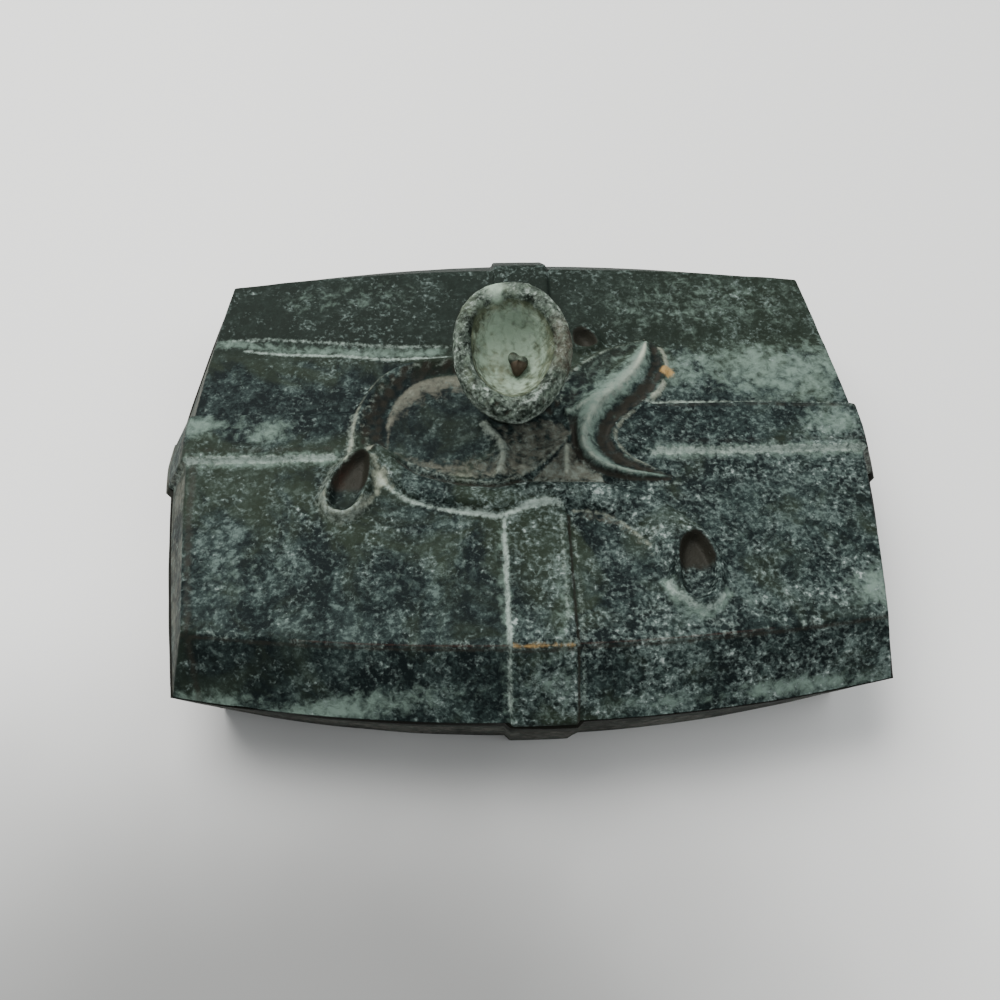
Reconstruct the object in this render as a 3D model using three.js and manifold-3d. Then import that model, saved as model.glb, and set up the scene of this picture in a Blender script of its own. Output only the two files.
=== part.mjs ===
// Trinket box in cast bronze: a shallow tapered tray and a loose flat-topped lid that lifts off.
// Raised bands run over both like ribbon round a parcel and meet in a knot with a cup-shaped knob.
// Millimetres, +Z up, +X along the length, origin under the middle of the tray.
import * as THREE from 'three';
import { mergeVertices } from 'three/addons/utils/BufferGeometryUtils.js';
import Module from 'manifold-3d';

const wasm = await Module();
wasm.setup();

// Outline of the box, seen from above, where the lid meets the tray
const cornerHalfLength = 55; // centre to corner, along the length
const cornerHalfDepth = 42.5; // centre to corner, front to back
const endBow = 5.8; // how far each end swells out past its corners
const sideBow = 5.6; // how far the front and the back swell out past their corners
const endRoundness = 1.3; // 1 gives two straight stretches, 2 a parabola
const lengthSteps = 14; // facets along the length

// Tray
const trayHeight = 15;
const trayWall = 3;
const trayFloor = 3;
const trayRimProud = 0.6; // the tray's rim stands this far past the lid at each end
const footInset = 3.8; // the wall leans in this far from rim to foot
const footBow = 6.1; // swell of the foot at the front and the back

// Lid
const seamGap = 0.3; // dark joint line between tray and lid
const lidHeight = 8;
const lidWall = 2.6;
const bevelRun = 7.8; // how far the front and back bevels lean in
const endRun = 2.4; // how far the end walls lean in at the corners
const topEndBow = 4.6;
const topSideBow = 4.2;
const foldPlace = 20.8; // shallow valley across the back of the lid, measured at the lid's ends
const foldDepth = 0.5;
const foldHalfWidth = 3;
const foldBow = 3.2; // the valley swings this far forward in the middle

// Locating rim under the lid, which drops into the tray
const rimDrop = 3;
const rimRise = 1.2;
const rimWidth = 1.8;
const rimClearance = 0.6;

// Bands
const bandProud = 0.9;
const lengthBandWidth = 9;
const crossBandWidth = 10;
const trayBandWidth = 10.8;
const crossBandPlace = 1.1; // the cross band runs a little right of the middle
const lidBandEnds = { left: -20, right: 13, front: -13, back: 12 }; // they stop inside the knot
const trayBandEnds = { left: 0, right: 0, front: 0, back: 0 };

// Dish of the knot: lines traced on the lid from its left end round to its right end
const dishBackRim = [[-26.6, -4], [-27.4, -0.8], [-27.4, 2.8], [-26.3, 6.6], [-24.3, 10.2], [-21.6, 12.9],
  [-18, 14.9], [-14, 15.6], [-9.4, 15.7], [-4.4, 14.4], [1, 10.9], [6.6, 5.4]];
const dishBackFloor = [[-23.9, -3.5], [-23.5, -0.6], [-23.2, 2.4], [-22.3, 5.8], [-20.6, 8.9], [-18.2, 10.9],
  [-15.4, 11.9], [-12.2, 12.2], [-8.6, 12], [-4.6, 10.8], [-0.4, 7.8], [4.6, 3]];
const dishFrontRim = [[-22.6, -4], [-21.2, -5.2], [-18.9, -7.1], [-15.7, -8.7], [-11.9, -9.9], [-8.4, -10.6],
  [-5, -10.8], [-1.8, -9.9], [1.4, -8.1], [4.2, -5.6], [6.4, -3.1], [8.4, -0.9]];
const dishRimHeight = 1.8;
const dishFloorHeight = 0.6;
const dishRidge = [[-7.4, 2.2], [-5.8, -0.5], [-3.9, -3.3], [-3.8, -6.2], [-4.7, -9.8]];
const dishRidgeHalfWidth = 1.1;

// Ribbon tail of the knot: its back and its front edge, from its round start to the right tip
const ribbonBack = [[-24, -2.6], [-22.4, -4.1], [-20.9, -6.2], [-18.4, -8.2], [-15.6, -9.4], [-11.8, -10.6],
  [-7.8, -11.2], [-4.4, -11.3], [-0.6, -10.4], [5.3, -10.5], [11.9, -10.8], [18.3, -12], [21.6, -14.2],
  [24.4, -17], [27.6, -19.6], [29.3, -22]];
const ribbonFront = [[-25.6, -3.2], [-25.2, -5.8], [-22.9, -9.3], [-20.1, -12.2], [-17.4, -13.7],
  [-13.4, -14.8], [-9.4, -15.6], [-3.8, -16.1], [0.2, -15.5], [4.3, -15], [8, -15.5], [11.5, -16.2],
  [14.8, -17.8], [17.7, -20.6], [19.5, -23.8], [20.4, -26.6]];
const ribbonHeight = 2.2;

// Hollow tips where the ribbon ends
const tipWall = 1.1;
const tipHeight = 2.9;
const tipDepth = 2.3;
const rightTip = { place: [25.6, -26.6], length: 13.8, width: 8.2, turn: -4 };
const leftTip = { place: [-29.3, -9.9], length: 13.2, width: 7.5, turn: -17 };
const backTip = { place: [11.6, 20.4], length: 7, width: 7.4, turn: 0 };

// Leaf-shaped loop of the knot, from its peak to its point: left edge, crest with heights, right edge
const leafLeft = [[23.9, 20.3], [19.8, 17.9], [14.2, 16.1], [9.9, 13], [7.5, 9.4], [6.5, 6], [7.6, 2.4],
  [8.3, -1.2], [8.4, -4.4], [10.2, -7.6], [13.6, -9.7], [18.5, -10.8], [24.6, -10.6]];
const leafCrest = [[23.1, 19.2, 1.4], [20.6, 14.3, 2.4], [18, 10.4, 2.9], [15.4, 7.1, 3.1], [13.6, 4.4, 3.1],
  [12.2, 2, 3.1], [11, -0.8, 3.1], [10.6, -2.8, 3], [11.2, -5.9, 2.9], [13.2, -8.6, 2.7], [17, -9.9, 2.3],
  [20.4, -10.4, 1.6], [25, -10.2, 0.5]];
const leafRight = [[24.6, 18.9], [24.8, 14.6], [23.5, 10.4], [21.2, 7], [18, 4.2], [15.9, 1.4], [15, -1.2],
  [15.1, -3.5], [16.4, -5.8], [18.4, -7.4], [20.8, -8.3], [23, -9.1], [25.4, -9.8]];
const leafRimShare = 0.36; // height of the leaf's edges, as a share of its crest
const leafValleyShare = 0.26; // height of its hollows

// Web between the dish, the leaf and the ribbon
const webBack = [[1.4, -9.6], [4.6, -6.2], [8.2, -2.2], [9.6, -6.4], [12.4, -9.6]];
const webFront = [[0.9, -10.6], [4, -10.8], [6.8, -10.9], [9.6, -10.9], [12.6, -10.8]];
const webHeight = 0.9;

// Knob: a thick-lipped oval cup on a short stem, leaning toward the front
const knobPlace = [-2.35, 8.3];
const knobLean = 16; // degrees
const knobHeight = 20.6; // along its own axis, from the lid to the lip
const lipHalfWidth = 9.45;
const lipThickness = 3;
const lipRound = 1.2; // how far the lip's outer side curves in
const cupDepth = 8.4;
const neckHalfWidth = 4.9;
const neckFlare = 1.4; // the stem widens this much toward the lid
const knobOval = 1.27; // front-to-back measure over its width
const pipRadius = 1.5;
const pipPlace = [1.1, -0.5]; // on the cup's floor, from its middle

// Heights worked out from the sizes above
const seamHeight = trayHeight + seamGap;
const lidTop = seamHeight + lidHeight;
const far = 4 * (cornerHalfLength + cornerHalfDepth);

const finish = {
  dark: { color: 0x2f3836, roughness: 0.62, metalness: 0.55 },
  slope: { color: 0x3a4442, roughness: 0.66, metalness: 0.5 },
  green: { color: 0x6f8a7e, roughness: 0.82, metalness: 0.15 },
  brown: { color: 0x3b2f28, roughness: 0.5, metalness: 0.5 },
  grey: { color: 0x6d6f69, roughness: 0.6, metalness: 0.45 },
};

const box = new THREE.Group();
box.name = 'trinket_box';

function addPiece(name, geometry, look) {
  const piece = new THREE.Mesh(geometry, new THREE.MeshStandardMaterial(look));
  piece.name = name;
  box.add(piece);
}

// Solids

function toSolid(geometry) {
  const bare = geometry.clone();
  bare.deleteAttribute('normal');
  bare.deleteAttribute('uv');
  const merged = mergeVertices(bare, 1e-4);
  const corners = merged.index.array;
  const triangles = [];
  for (let k = 0; k < corners.length; k += 3) {
    const [a, b, c] = corners.slice(k, k + 3);
    if (a !== b && b !== c && c !== a) {
      triangles.push(a, b, c);
    }
  }
  const mesh = new wasm.Mesh({
    numProp: 3,
    vertProperties: Float32Array.from(merged.attributes.position.array),
    triVerts: Uint32Array.from(triangles),
  });
  return new wasm.Manifold(mesh);
}

function toGeometry(solid) {
  const mesh = solid.getMesh();
  const geometry = new THREE.BufferGeometry();
  geometry.setAttribute('position', new THREE.BufferAttribute(mesh.vertProperties, 3));
  geometry.setIndex(new THREE.BufferAttribute(mesh.triVerts, 1));
  geometry.computeVertexNormals();
  return geometry;
}

// What is left of a piece once others have cut it: its largest body, without stray slivers
function mainBody(solid) {
  const bodies = solid.decompose();
  return bodies.reduce((best, body) => (body.volume() > best.volume() ? body : best));
}

function slab(lowX, highX, lowY, highY, lowZ, highZ) {
  const block = new THREE.BoxGeometry(highX - lowX, highY - lowY, highZ - lowZ);
  block.translate((lowX + highX) / 2, (lowY + highY) / 2, (lowZ + highZ) / 2);
  return toSolid(block);
}

// Loft along the length between a lower and an upper row of lines, both named from front to back.
// Each line has its depth and height, its reach to either end, and its swell at the middle.
function loftAlongLength(lowerRow, upperRow) {
  const profile = [...lowerRow, ...[...upperRow].reverse()];
  const count = profile.length;
  const positions = [];
  const faces = [];
  for (let step = 0; step <= lengthSteps; step += 1) {
    const share = (2 * step) / lengthSteps - 1;
    for (const line of profile) {
      const swell = Math.sign(line.depth) * line.swell * (1 - share * share);
      positions.push(share * line.reach, line.depth + swell, line.height);
    }
  }
  for (let step = 0; step < lengthSteps; step += 1) {
    for (let k = 0; k < count; k += 1) {
      const a = step * count + k;
      const b = step * count + ((k + 1) % count);
      faces.push(a, b, a + count, b, b + count, a + count);
    }
  }
  const last = lengthSteps * count;
  for (let k = 0; k < lowerRow.length - 1; k += 1) {
    const above = count - 1 - k;
    faces.push(k, above, k + 1, k + 1, above, above - 1);
    faces.push(last + k, last + k + 1, last + above, last + k + 1, last + above - 1, last + above);
  }
  const geometry = new THREE.BufferGeometry();
  geometry.setAttribute('position', new THREE.Float32BufferAttribute(positions, 3));
  geometry.setIndex(faces);
  return toSolid(geometry);
}

// Outline at one height: its corner place, how its ends and its sides bow, and its height
function level(halfLength, halfDepth, bowAtEnds, bowAtSides, height) {
  return { halfLength, halfDepth, bowAtEnds, bowAtSides, height };
}

// Where the lines of a loft lie, as shares of the depth; the two near the back edge a valley
const foldShare = foldPlace / (cornerHalfDepth - bevelRun);
const foldEdgeShare = (foldPlace - foldHalfWidth) / (cornerHalfDepth - bevelRun);
const linePlaces = [-1, -0.5, -0.25, 0, 0.25, foldEdgeShare, foldShare, 1];

function levelRow(at, valley = 0) {
  return linePlaces.map((place) => {
    const share = Math.abs(place);
    const inValley = place === foldShare || place === foldEdgeShare;
    return {
      depth: place * at.halfDepth,
      height: at.height - (place === foldShare ? valley : 0),
      reach: at.halfLength + at.bowAtEnds * (1 - share ** endRoundness),
      swell: inValley ? -foldBow : at.bowAtSides * share,
    };
  });
}

function loftBetween(lower, upper, valley = 0) {
  return loftAlongLength(levelRow(lower), levelRow(upper, valley));
}

function inset(at, distance, height = at.height) {
  return level(at.halfLength - distance, at.halfDepth - distance, at.bowAtEnds, at.bowAtSides, height);
}

// Outlines at each height
const trayRim = level(cornerHalfLength + trayRimProud, cornerHalfDepth, endBow, sideBow, trayHeight);
const trayFoot = level(cornerHalfLength - footInset, cornerHalfDepth - footInset, endBow, footBow, 0);
const lidSeam = level(cornerHalfLength, cornerHalfDepth, endBow, sideBow, seamHeight);
const lidEdge = level(cornerHalfLength - endRun, cornerHalfDepth - bevelRun, topEndBow, topSideBow, lidTop);

const trayOuter = loftBetween(trayFoot, trayRim);
// The lid's top is flat but for the shallow valley near the back
const lidOuter = loftBetween(lidSeam, lidEdge, foldDepth);

// The room inside the tray, drawn in by a margin on every side
function trayRoom(margin) {
  const low = inset(trayFoot, trayWall + margin, trayFloor);
  const high = inset(trayRim, trayWall + margin, seamHeight + rimRise + 1);
  return loftBetween(low, high);
}

// Tray: leaning walls, flat floor, open top
function makeTray() {
  return trayOuter.subtract(trayRoom(0));
}

// Lid: bevelled shell, open below
function makeLid() {
  const hollowLow = inset(lidSeam, trayWall, seamHeight - 1);
  const hollowHigh = inset(lidEdge, lidWall, lidTop - lidWall);
  return lidOuter.subtract(loftBetween(hollowLow, hollowHigh));
}

// Ring that follows the tray's inner wall and hangs from the lid's
function makeLocatingRim(lid) {
  const reach = slab(-far, far, -far, far, seamHeight - rimDrop, seamHeight + rimRise);
  const ring = trayRoom(rimClearance).subtract(trayRoom(rimClearance + rimWidth));
  return ring.intersect(reach).subtract(lid);
}

// Bands: a skin of even thickness over the lid or the tray, cut to the band's width
function proudLevel(at, height = at.height) {
  return inset(at, -bandProud, height);
}

function makeLidSkin() {
  const skinEdge = proudLevel(lidEdge, lidTop + bandProud);
  return loftBetween(proudLevel(lidSeam), skinEdge, foldDepth).subtract(lidOuter);
}

function makeTraySkin() {
  return loftBetween(proudLevel(trayFoot), proudLevel(trayRim)).subtract(trayOuter);
}

// Four cuts that part a skin into its bands, each from the knot outward
function bandCuts(lengthWidth, crossWidth, ends) {
  const half = lengthWidth / 2;
  const low = crossBandPlace - crossWidth / 2;
  const high = crossBandPlace + crossWidth / 2;
  return {
    left: slab(-far, ends.left, -half, half, -1, far),
    right: slab(ends.right, far, -half, half, -1, far),
    front: slab(low, high, -far, ends.front, -1, far),
    back: slab(low, high, ends.back, far, -1, far),
  };
}

// Knot

function onLid(geometry, place = [0, 0]) {
  geometry.translate(place[0], place[1], lidTop);
  return toSolid(geometry);
}

// A turned shape: profile in [radius, height] pairs that starts and ends on the axis
function turned(pairs, segments) {
  const profile = pairs.map(([radius, height]) => new THREE.Vector2(radius, height));
  const geometry = new THREE.LatheGeometry(profile, segments);
  geometry.rotateX(Math.PI / 2);
  return geometry;
}

// Line between two traced ones: 0 is the first, 1 the second, and other shares lie outside them
function between(first, second, share, heightAt) {
  return first.map(([x, y], k) => {
    const [otherX, otherY] = second[k];
    return [x + (otherX - x) * share, y + (otherY - y) * share, heightAt(k)];
  });
}

function flush() {
  return 0;
}

// Solid that stands on the lid under a surface lofted across lines, named from the left side of their way
// to the right. The first and the last line lie on the lid.
function loftAcross(lines) {
  const steps = (lines[0].length - 1) * 2;
  const curves = lines.map((line) => {
    const points = line.map(([x, y, height]) => new THREE.Vector3(x, y, height));
    return new THREE.CatmullRomCurve3(points, false, 'centripetal');
  });
  const count = lines.length;
  const positions = [];
  const faces = [];
  for (const top of [1, 0]) {
    for (let step = 0; step <= steps; step += 1) {
      for (const curve of curves) {
        const point = curve.getPoint(step / steps);
        positions.push(point.x, point.y, point.z * top);
      }
    }
  }
  const under = (steps + 1) * count;
  for (let step = 0; step < steps; step += 1) {
    for (let k = 0; k < count - 1; k += 1) {
      const a = step * count + k;
      const b = a + 1;
      const c = a + count;
      const d = c + 1;
      faces.push(a, b, c, b, d, c);
      faces.push(under + a, under + c, under + b, under + b, under + c, under + d);
    }
  }
  const last = steps * count;
  for (let k = 0; k < count - 1; k += 1) {
    faces.push(k, under + k, k + 1, k + 1, under + k, under + k + 1);
    faces.push(last + k, last + k + 1, last + under + k);
    faces.push(last + k + 1, last + under + k + 1, last + under + k);
  }
  const geometry = new THREE.BufferGeometry();
  geometry.setAttribute('position', new THREE.Float32BufferAttribute(positions, 3));
  geometry.setIndex(faces);
  return onLid(geometry);
}

// Dish: a lip that slopes down inside to a level floor, with a low ridge across the floor
function makeDish() {
  const rim = () => dishRimHeight;
  const floor = () => dishFloorHeight;
  const frontFloor = between(dishFrontRim, dishBackFloor, 0.12, floor);
  const dish = loftAcross([
    between(dishBackRim, dishBackFloor, -0.35, flush),
    between(dishBackRim, dishBackFloor, 0, rim),
    between(dishBackFloor, frontFloor, 0, floor),
    between(dishBackFloor, frontFloor, 1, floor),
    between(dishFrontRim, frontFloor, 0, rim),
    between(dishFrontRim, frontFloor, -0.3, flush),
  ]);
  const ridge = loftAcross([
    dishRidge.map(([x, y]) => [x + dishRidgeHalfWidth, y, 0]),
    dishRidge.map(([x, y]) => [x, y, dishRimHeight]),
    dishRidge.map(([x, y]) => [x - dishRidgeHalfWidth, y, 0]),
  ]);
  return dish.add(ridge);
}

// Ribbon: rounded across, from its start under the left tip to the right tip
function makeRibbon() {
  const shares = [0, 0.08, 0.25, 0.5, 0.75, 0.92, 1];
  return loftAcross(shares.map((share) => {
    const height = ribbonHeight * (4 * share * (1 - share)) ** 0.4;
    return between(ribbonBack, ribbonFront, share, () => height);
  }));
}

// Leaf: a crest between two hollows, each closed by a low rim
function makeLeaf() {
  const scaled = (share) => (k) => leafCrest[k][2] * share;
  return loftAcross([
    between(leafRight, leafCrest, -0.15, flush),
    between(leafRight, leafCrest, 0, scaled(leafRimShare)),
    between(leafRight, leafCrest, 0.4, scaled(leafValleyShare)),
    leafCrest,
    between(leafLeft, leafCrest, 0.5, scaled(leafValleyShare)),
    between(leafLeft, leafCrest, 0, scaled(leafRimShare)),
    between(leafLeft, leafCrest, -0.12, flush),
  ]);
}

function makeWeb() {
  const floor = () => webHeight;
  return loftAcross([
    between(webBack, webFront, 0, flush),
    between(webBack, webFront, 0.12, floor),
    between(webBack, webFront, 0.88, floor),
    between(webBack, webFront, 1, flush),
  ]);
}

// Egg-shaped cup, open on top, where a ribbon end is rolled up
function makeTip(tip) {
  const ball = new THREE.SphereGeometry(1, 20, 12);
  ball.scale(tip.width / 2, tip.length / 2, tipHeight);
  const hollow = new THREE.SphereGeometry(1, 18, 10);
  hollow.scale(tip.width / 2 - tipWall, tip.length / 2 - tipWall, tipDepth);
  hollow.translate(0, 0, tipHeight);
  for (const part of [ball, hollow]) {
    part.rotateZ(THREE.MathUtils.degToRad(tip.turn));
  }
  const cup = onLid(ball, tip.place).subtract(onLid(hollow, tip.place));
  return cup.intersect(slab(-far, far, -far, far, lidTop, lidTop + tipHeight * 0.92));
}

function knobFrame(geometry) {
  geometry.scale(1, knobOval, 1);
  geometry.rotateX(THREE.MathUtils.degToRad(knobLean));
  return geometry;
}

function makeKnob() {
  const root = -4; // the stem starts below the lid's top and is trimmed flush with it
  const neck = neckHalfWidth;
  const lip = lipHalfWidth;
  const bowl = lip - lipThickness;
  const cupFloor = knobHeight - cupDepth;
  const cup = knobFrame(turned([
    [0, root],
    [neck + neckFlare, root],
    [neck + neckFlare * 0.35, knobHeight * 0.07],
    [neck, knobHeight * 0.3],
    [neck + neckFlare * 0.85, knobHeight * 0.5],
    [lip - lipRound, knobHeight * 0.72],
    [lip, knobHeight * 0.84],
    [lip - lipRound * 0.25, knobHeight * 0.94],
    [lip - lipRound, knobHeight],
    [bowl + lipRound * 0.4, knobHeight * 0.99],
    [bowl, knobHeight * 0.93],
    [bowl * 0.82, cupFloor + cupDepth * 0.42],
    [bowl * 0.5, cupFloor + cupDepth * 0.12],
    [0, cupFloor],
  ], 32));
  return onLid(cup, knobPlace).intersect(slab(-far, far, -far, far, lidTop, far));
}

function makePip(knob) {
  const ball = new THREE.SphereGeometry(pipRadius, 10, 8);
  ball.scale(1, 1, 1.3);
  ball.translate(pipPlace[0], pipPlace[1], knobHeight - cupDepth + pipRadius * 0.9);
  return onLid(knobFrame(ball), knobPlace).subtract(knob);
}

// Assembly

function addTray() {
  addPiece('tray', toGeometry(makeTray()), finish.grey);
  const skin = makeTraySkin();
  for (const [side, cut] of Object.entries(bandCuts(trayBandWidth, trayBandWidth, trayBandEnds))) {
    addPiece(`tray_band_${side}`, toGeometry(skin.intersect(cut)), finish.grey);
  }
}

function addLid() {
  const lid = makeLid();
  addPiece('lid_shell', toGeometry(lid), finish.slope);
  addPiece('lid_locating_rim', toGeometry(mainBody(makeLocatingRim(lid))), finish.grey);
}

function addKnot() {
  const knob = makeKnob();
  const tips = { right: makeTip(rightTip), left: makeTip(leftTip), back: makeTip(backTip) };
  const leaf = makeLeaf().subtract(knob);
  const ribbon = makeRibbon().subtract(tips.right).subtract(tips.left).subtract(leaf);
  const backTipCup = tips.back.subtract(leaf).subtract(knob);
  const dish = makeDish().subtract(ribbon).subtract(knob).subtract(leaf).subtract(tips.left);
  const web = makeWeb().subtract(leaf).subtract(ribbon).subtract(knob).subtract(dish);
  const pieces = {
    knot_dish: [dish, finish.brown],
    knot_ribbon_tail: [ribbon, finish.slope],
    knot_leaf: [leaf, finish.green],
    knot_web: [web, finish.slope],
    ribbon_tip_right: [tips.right, finish.brown],
    ribbon_tip_left: [tips.left, finish.brown],
    ribbon_tip_back: [backTipCup, finish.brown],
    knob_cup: [knob, finish.green],
    knob_pip: [makePip(knob), finish.brown],
  };
  for (const [name, [solid, look]] of Object.entries(pieces)) {
    addPiece(name, toGeometry(mainBody(solid)), look);
  }
  return Object.values(pieces).map(([solid]) => solid);
}

function addLidBands(knotSolids) {
  const skin = makeLidSkin();
  const cuts = bandCuts(lengthBandWidth, crossBandWidth, lidBandEnds);
  for (const [side, cut] of Object.entries(cuts)) {
    let band = skin.intersect(cut);
    for (const solid of knotSolids) {
      band = band.subtract(solid);
    }
    addPiece(`lid_band_${side}`, toGeometry(mainBody(band)), finish.dark);
  }
}

addTray();
addLid();
addLidBands(addKnot());

export default box;
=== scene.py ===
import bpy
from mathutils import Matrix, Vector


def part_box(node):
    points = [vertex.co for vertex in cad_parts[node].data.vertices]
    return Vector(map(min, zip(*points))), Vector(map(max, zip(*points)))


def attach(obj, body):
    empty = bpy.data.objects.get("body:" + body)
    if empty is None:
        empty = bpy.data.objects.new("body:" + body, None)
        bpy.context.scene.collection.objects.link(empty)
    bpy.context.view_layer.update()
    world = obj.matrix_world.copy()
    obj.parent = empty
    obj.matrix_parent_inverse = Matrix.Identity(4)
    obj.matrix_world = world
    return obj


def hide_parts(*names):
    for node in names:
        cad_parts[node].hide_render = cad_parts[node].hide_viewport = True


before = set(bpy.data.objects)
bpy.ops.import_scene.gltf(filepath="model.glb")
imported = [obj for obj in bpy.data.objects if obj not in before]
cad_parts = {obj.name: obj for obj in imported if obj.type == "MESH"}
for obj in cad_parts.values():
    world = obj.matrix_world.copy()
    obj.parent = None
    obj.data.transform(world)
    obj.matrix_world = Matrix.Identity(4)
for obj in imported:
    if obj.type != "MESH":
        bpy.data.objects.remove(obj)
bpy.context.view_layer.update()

import math
import bpy
import numpy as np
from mathutils import Matrix, Vector

mm = 0.001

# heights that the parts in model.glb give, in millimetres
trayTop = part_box("tray")[1][2] / mm
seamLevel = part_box("lid_shell")[0][2] / mm
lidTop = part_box("lid_shell")[1][2] / mm


def smooth(low, high, value):
    share = np.clip((value - low) / (high - low), 0.0, 1.0)
    return share * share * (3.0 - 2.0 * share)


def bell(offset, width):
    # 1 on a line, fading away on both sides of it
    return np.exp(-(offset / width) ** 2)


def softMax(a, b, blend=0.35):
    gap = np.clip(0.5 + 0.5 * (a - b) / blend, 0.0, 1.0)
    return b * (1.0 - gap) + a * gap + blend * gap * (1.0 - gap)


def curvePoints(points, perSpan=10, closed=False):
    # rounded line through a few chosen points
    pts = np.array(points, float)
    count = len(pts)
    out = []
    for i in range(count if closed else count - 1):
        around = (j % count if closed else min(max(j, 0), count - 1) for j in range(i - 1, i + 3))
        p0, p1, p2, p3 = (pts[j] for j in around)
        for step in range(perSpan):
            t = step / perSpan
            out.append(0.5 * (2 * p1 + (p2 - p0) * t + (2 * p0 - 5 * p1 + 4 * p2 - p3) * t ** 2
                              + (3 * p1 - p0 - 3 * p2 + p3) * t ** 3))
    if not closed:
        out.append(pts[-1])
    return np.array(out)


def nearLine(x, y, line):
    # distance to a line of points, and how far along it the nearest place is
    best, along = np.full(x.shape, 1e9), np.zeros(x.shape)
    spans = len(line) - 1
    for i in range(spans):
        ax, ay = line[i][:2]
        dx, dy = line[i + 1][0] - ax, line[i + 1][1] - ay
        t = np.clip(((x - ax) * dx + (y - ay) * dy) / (dx * dx + dy * dy + 1e-12), 0.0, 1.0)
        d = np.hypot(x - ax - t * dx, y - ay - t * dy)
        along = np.where(d < best, (i + t) / spans, along)
        best = np.minimum(d, best)
    return best, along


def insideOutline(x, y, line):
    inside = np.zeros(x.shape, bool)
    for (ax, ay), (bx, by) in zip(line, np.roll(line, -1, axis=0)):
        crosses = (ay > y) != (by > y)
        inside ^= crosses & (x < (bx - ax) * (y - ay) / (by - ay + 1e-12) + ax)
    return inside


def lineGlow(x, y, points, half, low=0.0, high=1.0):
    # a soft line along some traced points, fading at both of its ends
    line = curvePoints(points)
    glow = np.zeros(x.shape)
    (left, front), (right, back) = line.min(axis=0) - 3 * half, line.max(axis=0) + 3 * half
    near = (x > left) & (x < right) & (y > front) & (y < back)
    d, along = nearLine(x[near], y[near], line)
    glow[near] = bell(d, half) * (smooth(low, low + 0.08, along) * smooth(high, high - 0.08, along))
    return glow


def patch(x, y, centre, size, turn=0.0):
    c, s = math.cos(math.radians(turn)), math.sin(math.radians(turn))
    dx, dy = x - centre[0], y - centre[1]
    u, v = (dx * c + dy * s) / size[0], (-dx * s + dy * c) / size[1]
    return np.exp(-(u * u + v * v) ** 1.3)


def waves(x, y, seed, size):
    # slow unevenness of a hand-made wax model, the same on every run
    rng = np.random.default_rng(seed)
    total = np.zeros(np.shape(x))
    for _ in range(7):
        angle = rng.uniform(0, math.tau)
        length = size * rng.uniform(0.6, 1.8)
        phase = rng.uniform(0, math.tau)
        total = total + np.sin((x * math.cos(angle) + y * math.sin(angle)) * math.tau / length + phase)
    return total / 7


# painting on named layers, which become masks of the material

def strengthen(layers, **values):
    for key, value in values.items():
        layers[key] = np.maximum(layers[key], value)


def fill(layers, place, **values):
    for key, value in values.items():
        layers[key] = np.where(place, value, layers[key])


def paintLines(layers, x, y, lines, cover=1.0):
    # each line: layer, points, half width, strength, and where it starts and ends
    for key, points, half, strength, *span in lines:
        strengthen(layers, **{key: strength * lineGlow(x, y, points, half, *span) * cover})


def makeMesh(name, points, faces, masks=None):
    mesh = bpy.data.meshes.new(name)
    mesh.from_pydata((np.asarray(points) * mm).tolist(), [], [list(map(int, face)) for face in faces])
    mesh.validate()
    mesh.update()
    mesh.polygons.foreach_set("use_smooth", [True] * len(mesh.polygons))
    for key, values in (masks or {}).items():
        layer = mesh.attributes.new(key, "FLOAT", "POINT")
        layer.data.foreach_set("value", np.asarray(values, np.float32).ravel())
    piece = bpy.data.objects.new(name, mesh)
    bpy.context.scene.collection.objects.link(piece)
    return piece


def gridQuads(rows, columns, first=0, wrap=False, flip=False):
    i = np.arange(rows - 1)[:, None]
    j = np.arange(columns if wrap else columns - 1)[None, :]
    a = first + i * columns + j
    b = first + i * columns + (j + 1) % columns
    order = [a, a + columns, b + columns, b] if flip else [a, b, b + columns, a + columns]
    return np.stack([corner.ravel() for corner in np.broadcast_arrays(*order)], axis=1)


# outline of the box, the same sizes as the solids, in millimetres
outline = {
    "halfLength": 55.0, "halfDepth": 42.5, "endBow": 5.8, "sideBow": 5.6, "endRound": 1.3,
    "lidHeight": lidTop - seamLevel, "bevelRun": 7.8, "endRun": 2.4, "topEndBow": 4.6, "topSideBow": 4.2,
    "leftLean": 0.95,
}


def reachAt(share, halfLength, bow):
    return halfLength + bow * (1 - np.abs(share) ** outline["endRound"])


def depthAt(share, halfDepth, bow):
    return halfDepth + bow * (1 - share * share)


def planPlace(shareX, shareY, halfLength, halfDepth, endBow, sideBow):
    return shareX * reachAt(shareY, halfLength, endBow), shareY * depthAt(shareX, halfDepth, sideBow)


# relief on the lid, as heights over its plain surface in millimetres
bands = {"proud": 0.9, "halfLengthwise": 4.5, "halfCross": 5.0, "crossPlace": 1.1, "edge": 0.4, "wider": 0.8}
valley = {"middle": 18.4, "bend": 0.0023, "turn": -16.0, "right": 20.6, "rise": 0.035, "depth": 0.45,
          "half": 3.0}


def bandRelief(x, y):
    half, cross, edge = bands["halfLengthwise"], bands["halfCross"], bands["edge"]
    back = half + bands["wider"] * smooth(8, 18, x) * smooth(60, 36, x)
    lengthwise = smooth(half + edge, half - edge * 0.6, -y) * smooth(back + edge, back - edge * 0.6, y)
    crosswise = smooth(cross + edge, cross - edge * 0.6, np.abs(x - bands["crossPlace"]))
    return bands["proud"] * np.maximum(lengthwise, crosswise)


def valleyPlace(x):
    left = valley["middle"] + valley["bend"] * (np.minimum(x, valley["turn"]) - valley["turn"]) ** 2
    right = valley["right"] + valley["rise"] * (x - 26.0)
    return left + (right - left) * smooth(-8.0, 22.0, x)


# the knot is gathered on a fine raster over the middle of the lid before it is pressed into the casting
raster = {"left": -41.0, "front": -38.0, "step": 0.1, "columns": 780, "rows": 660, "empty": -9.0}


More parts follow.
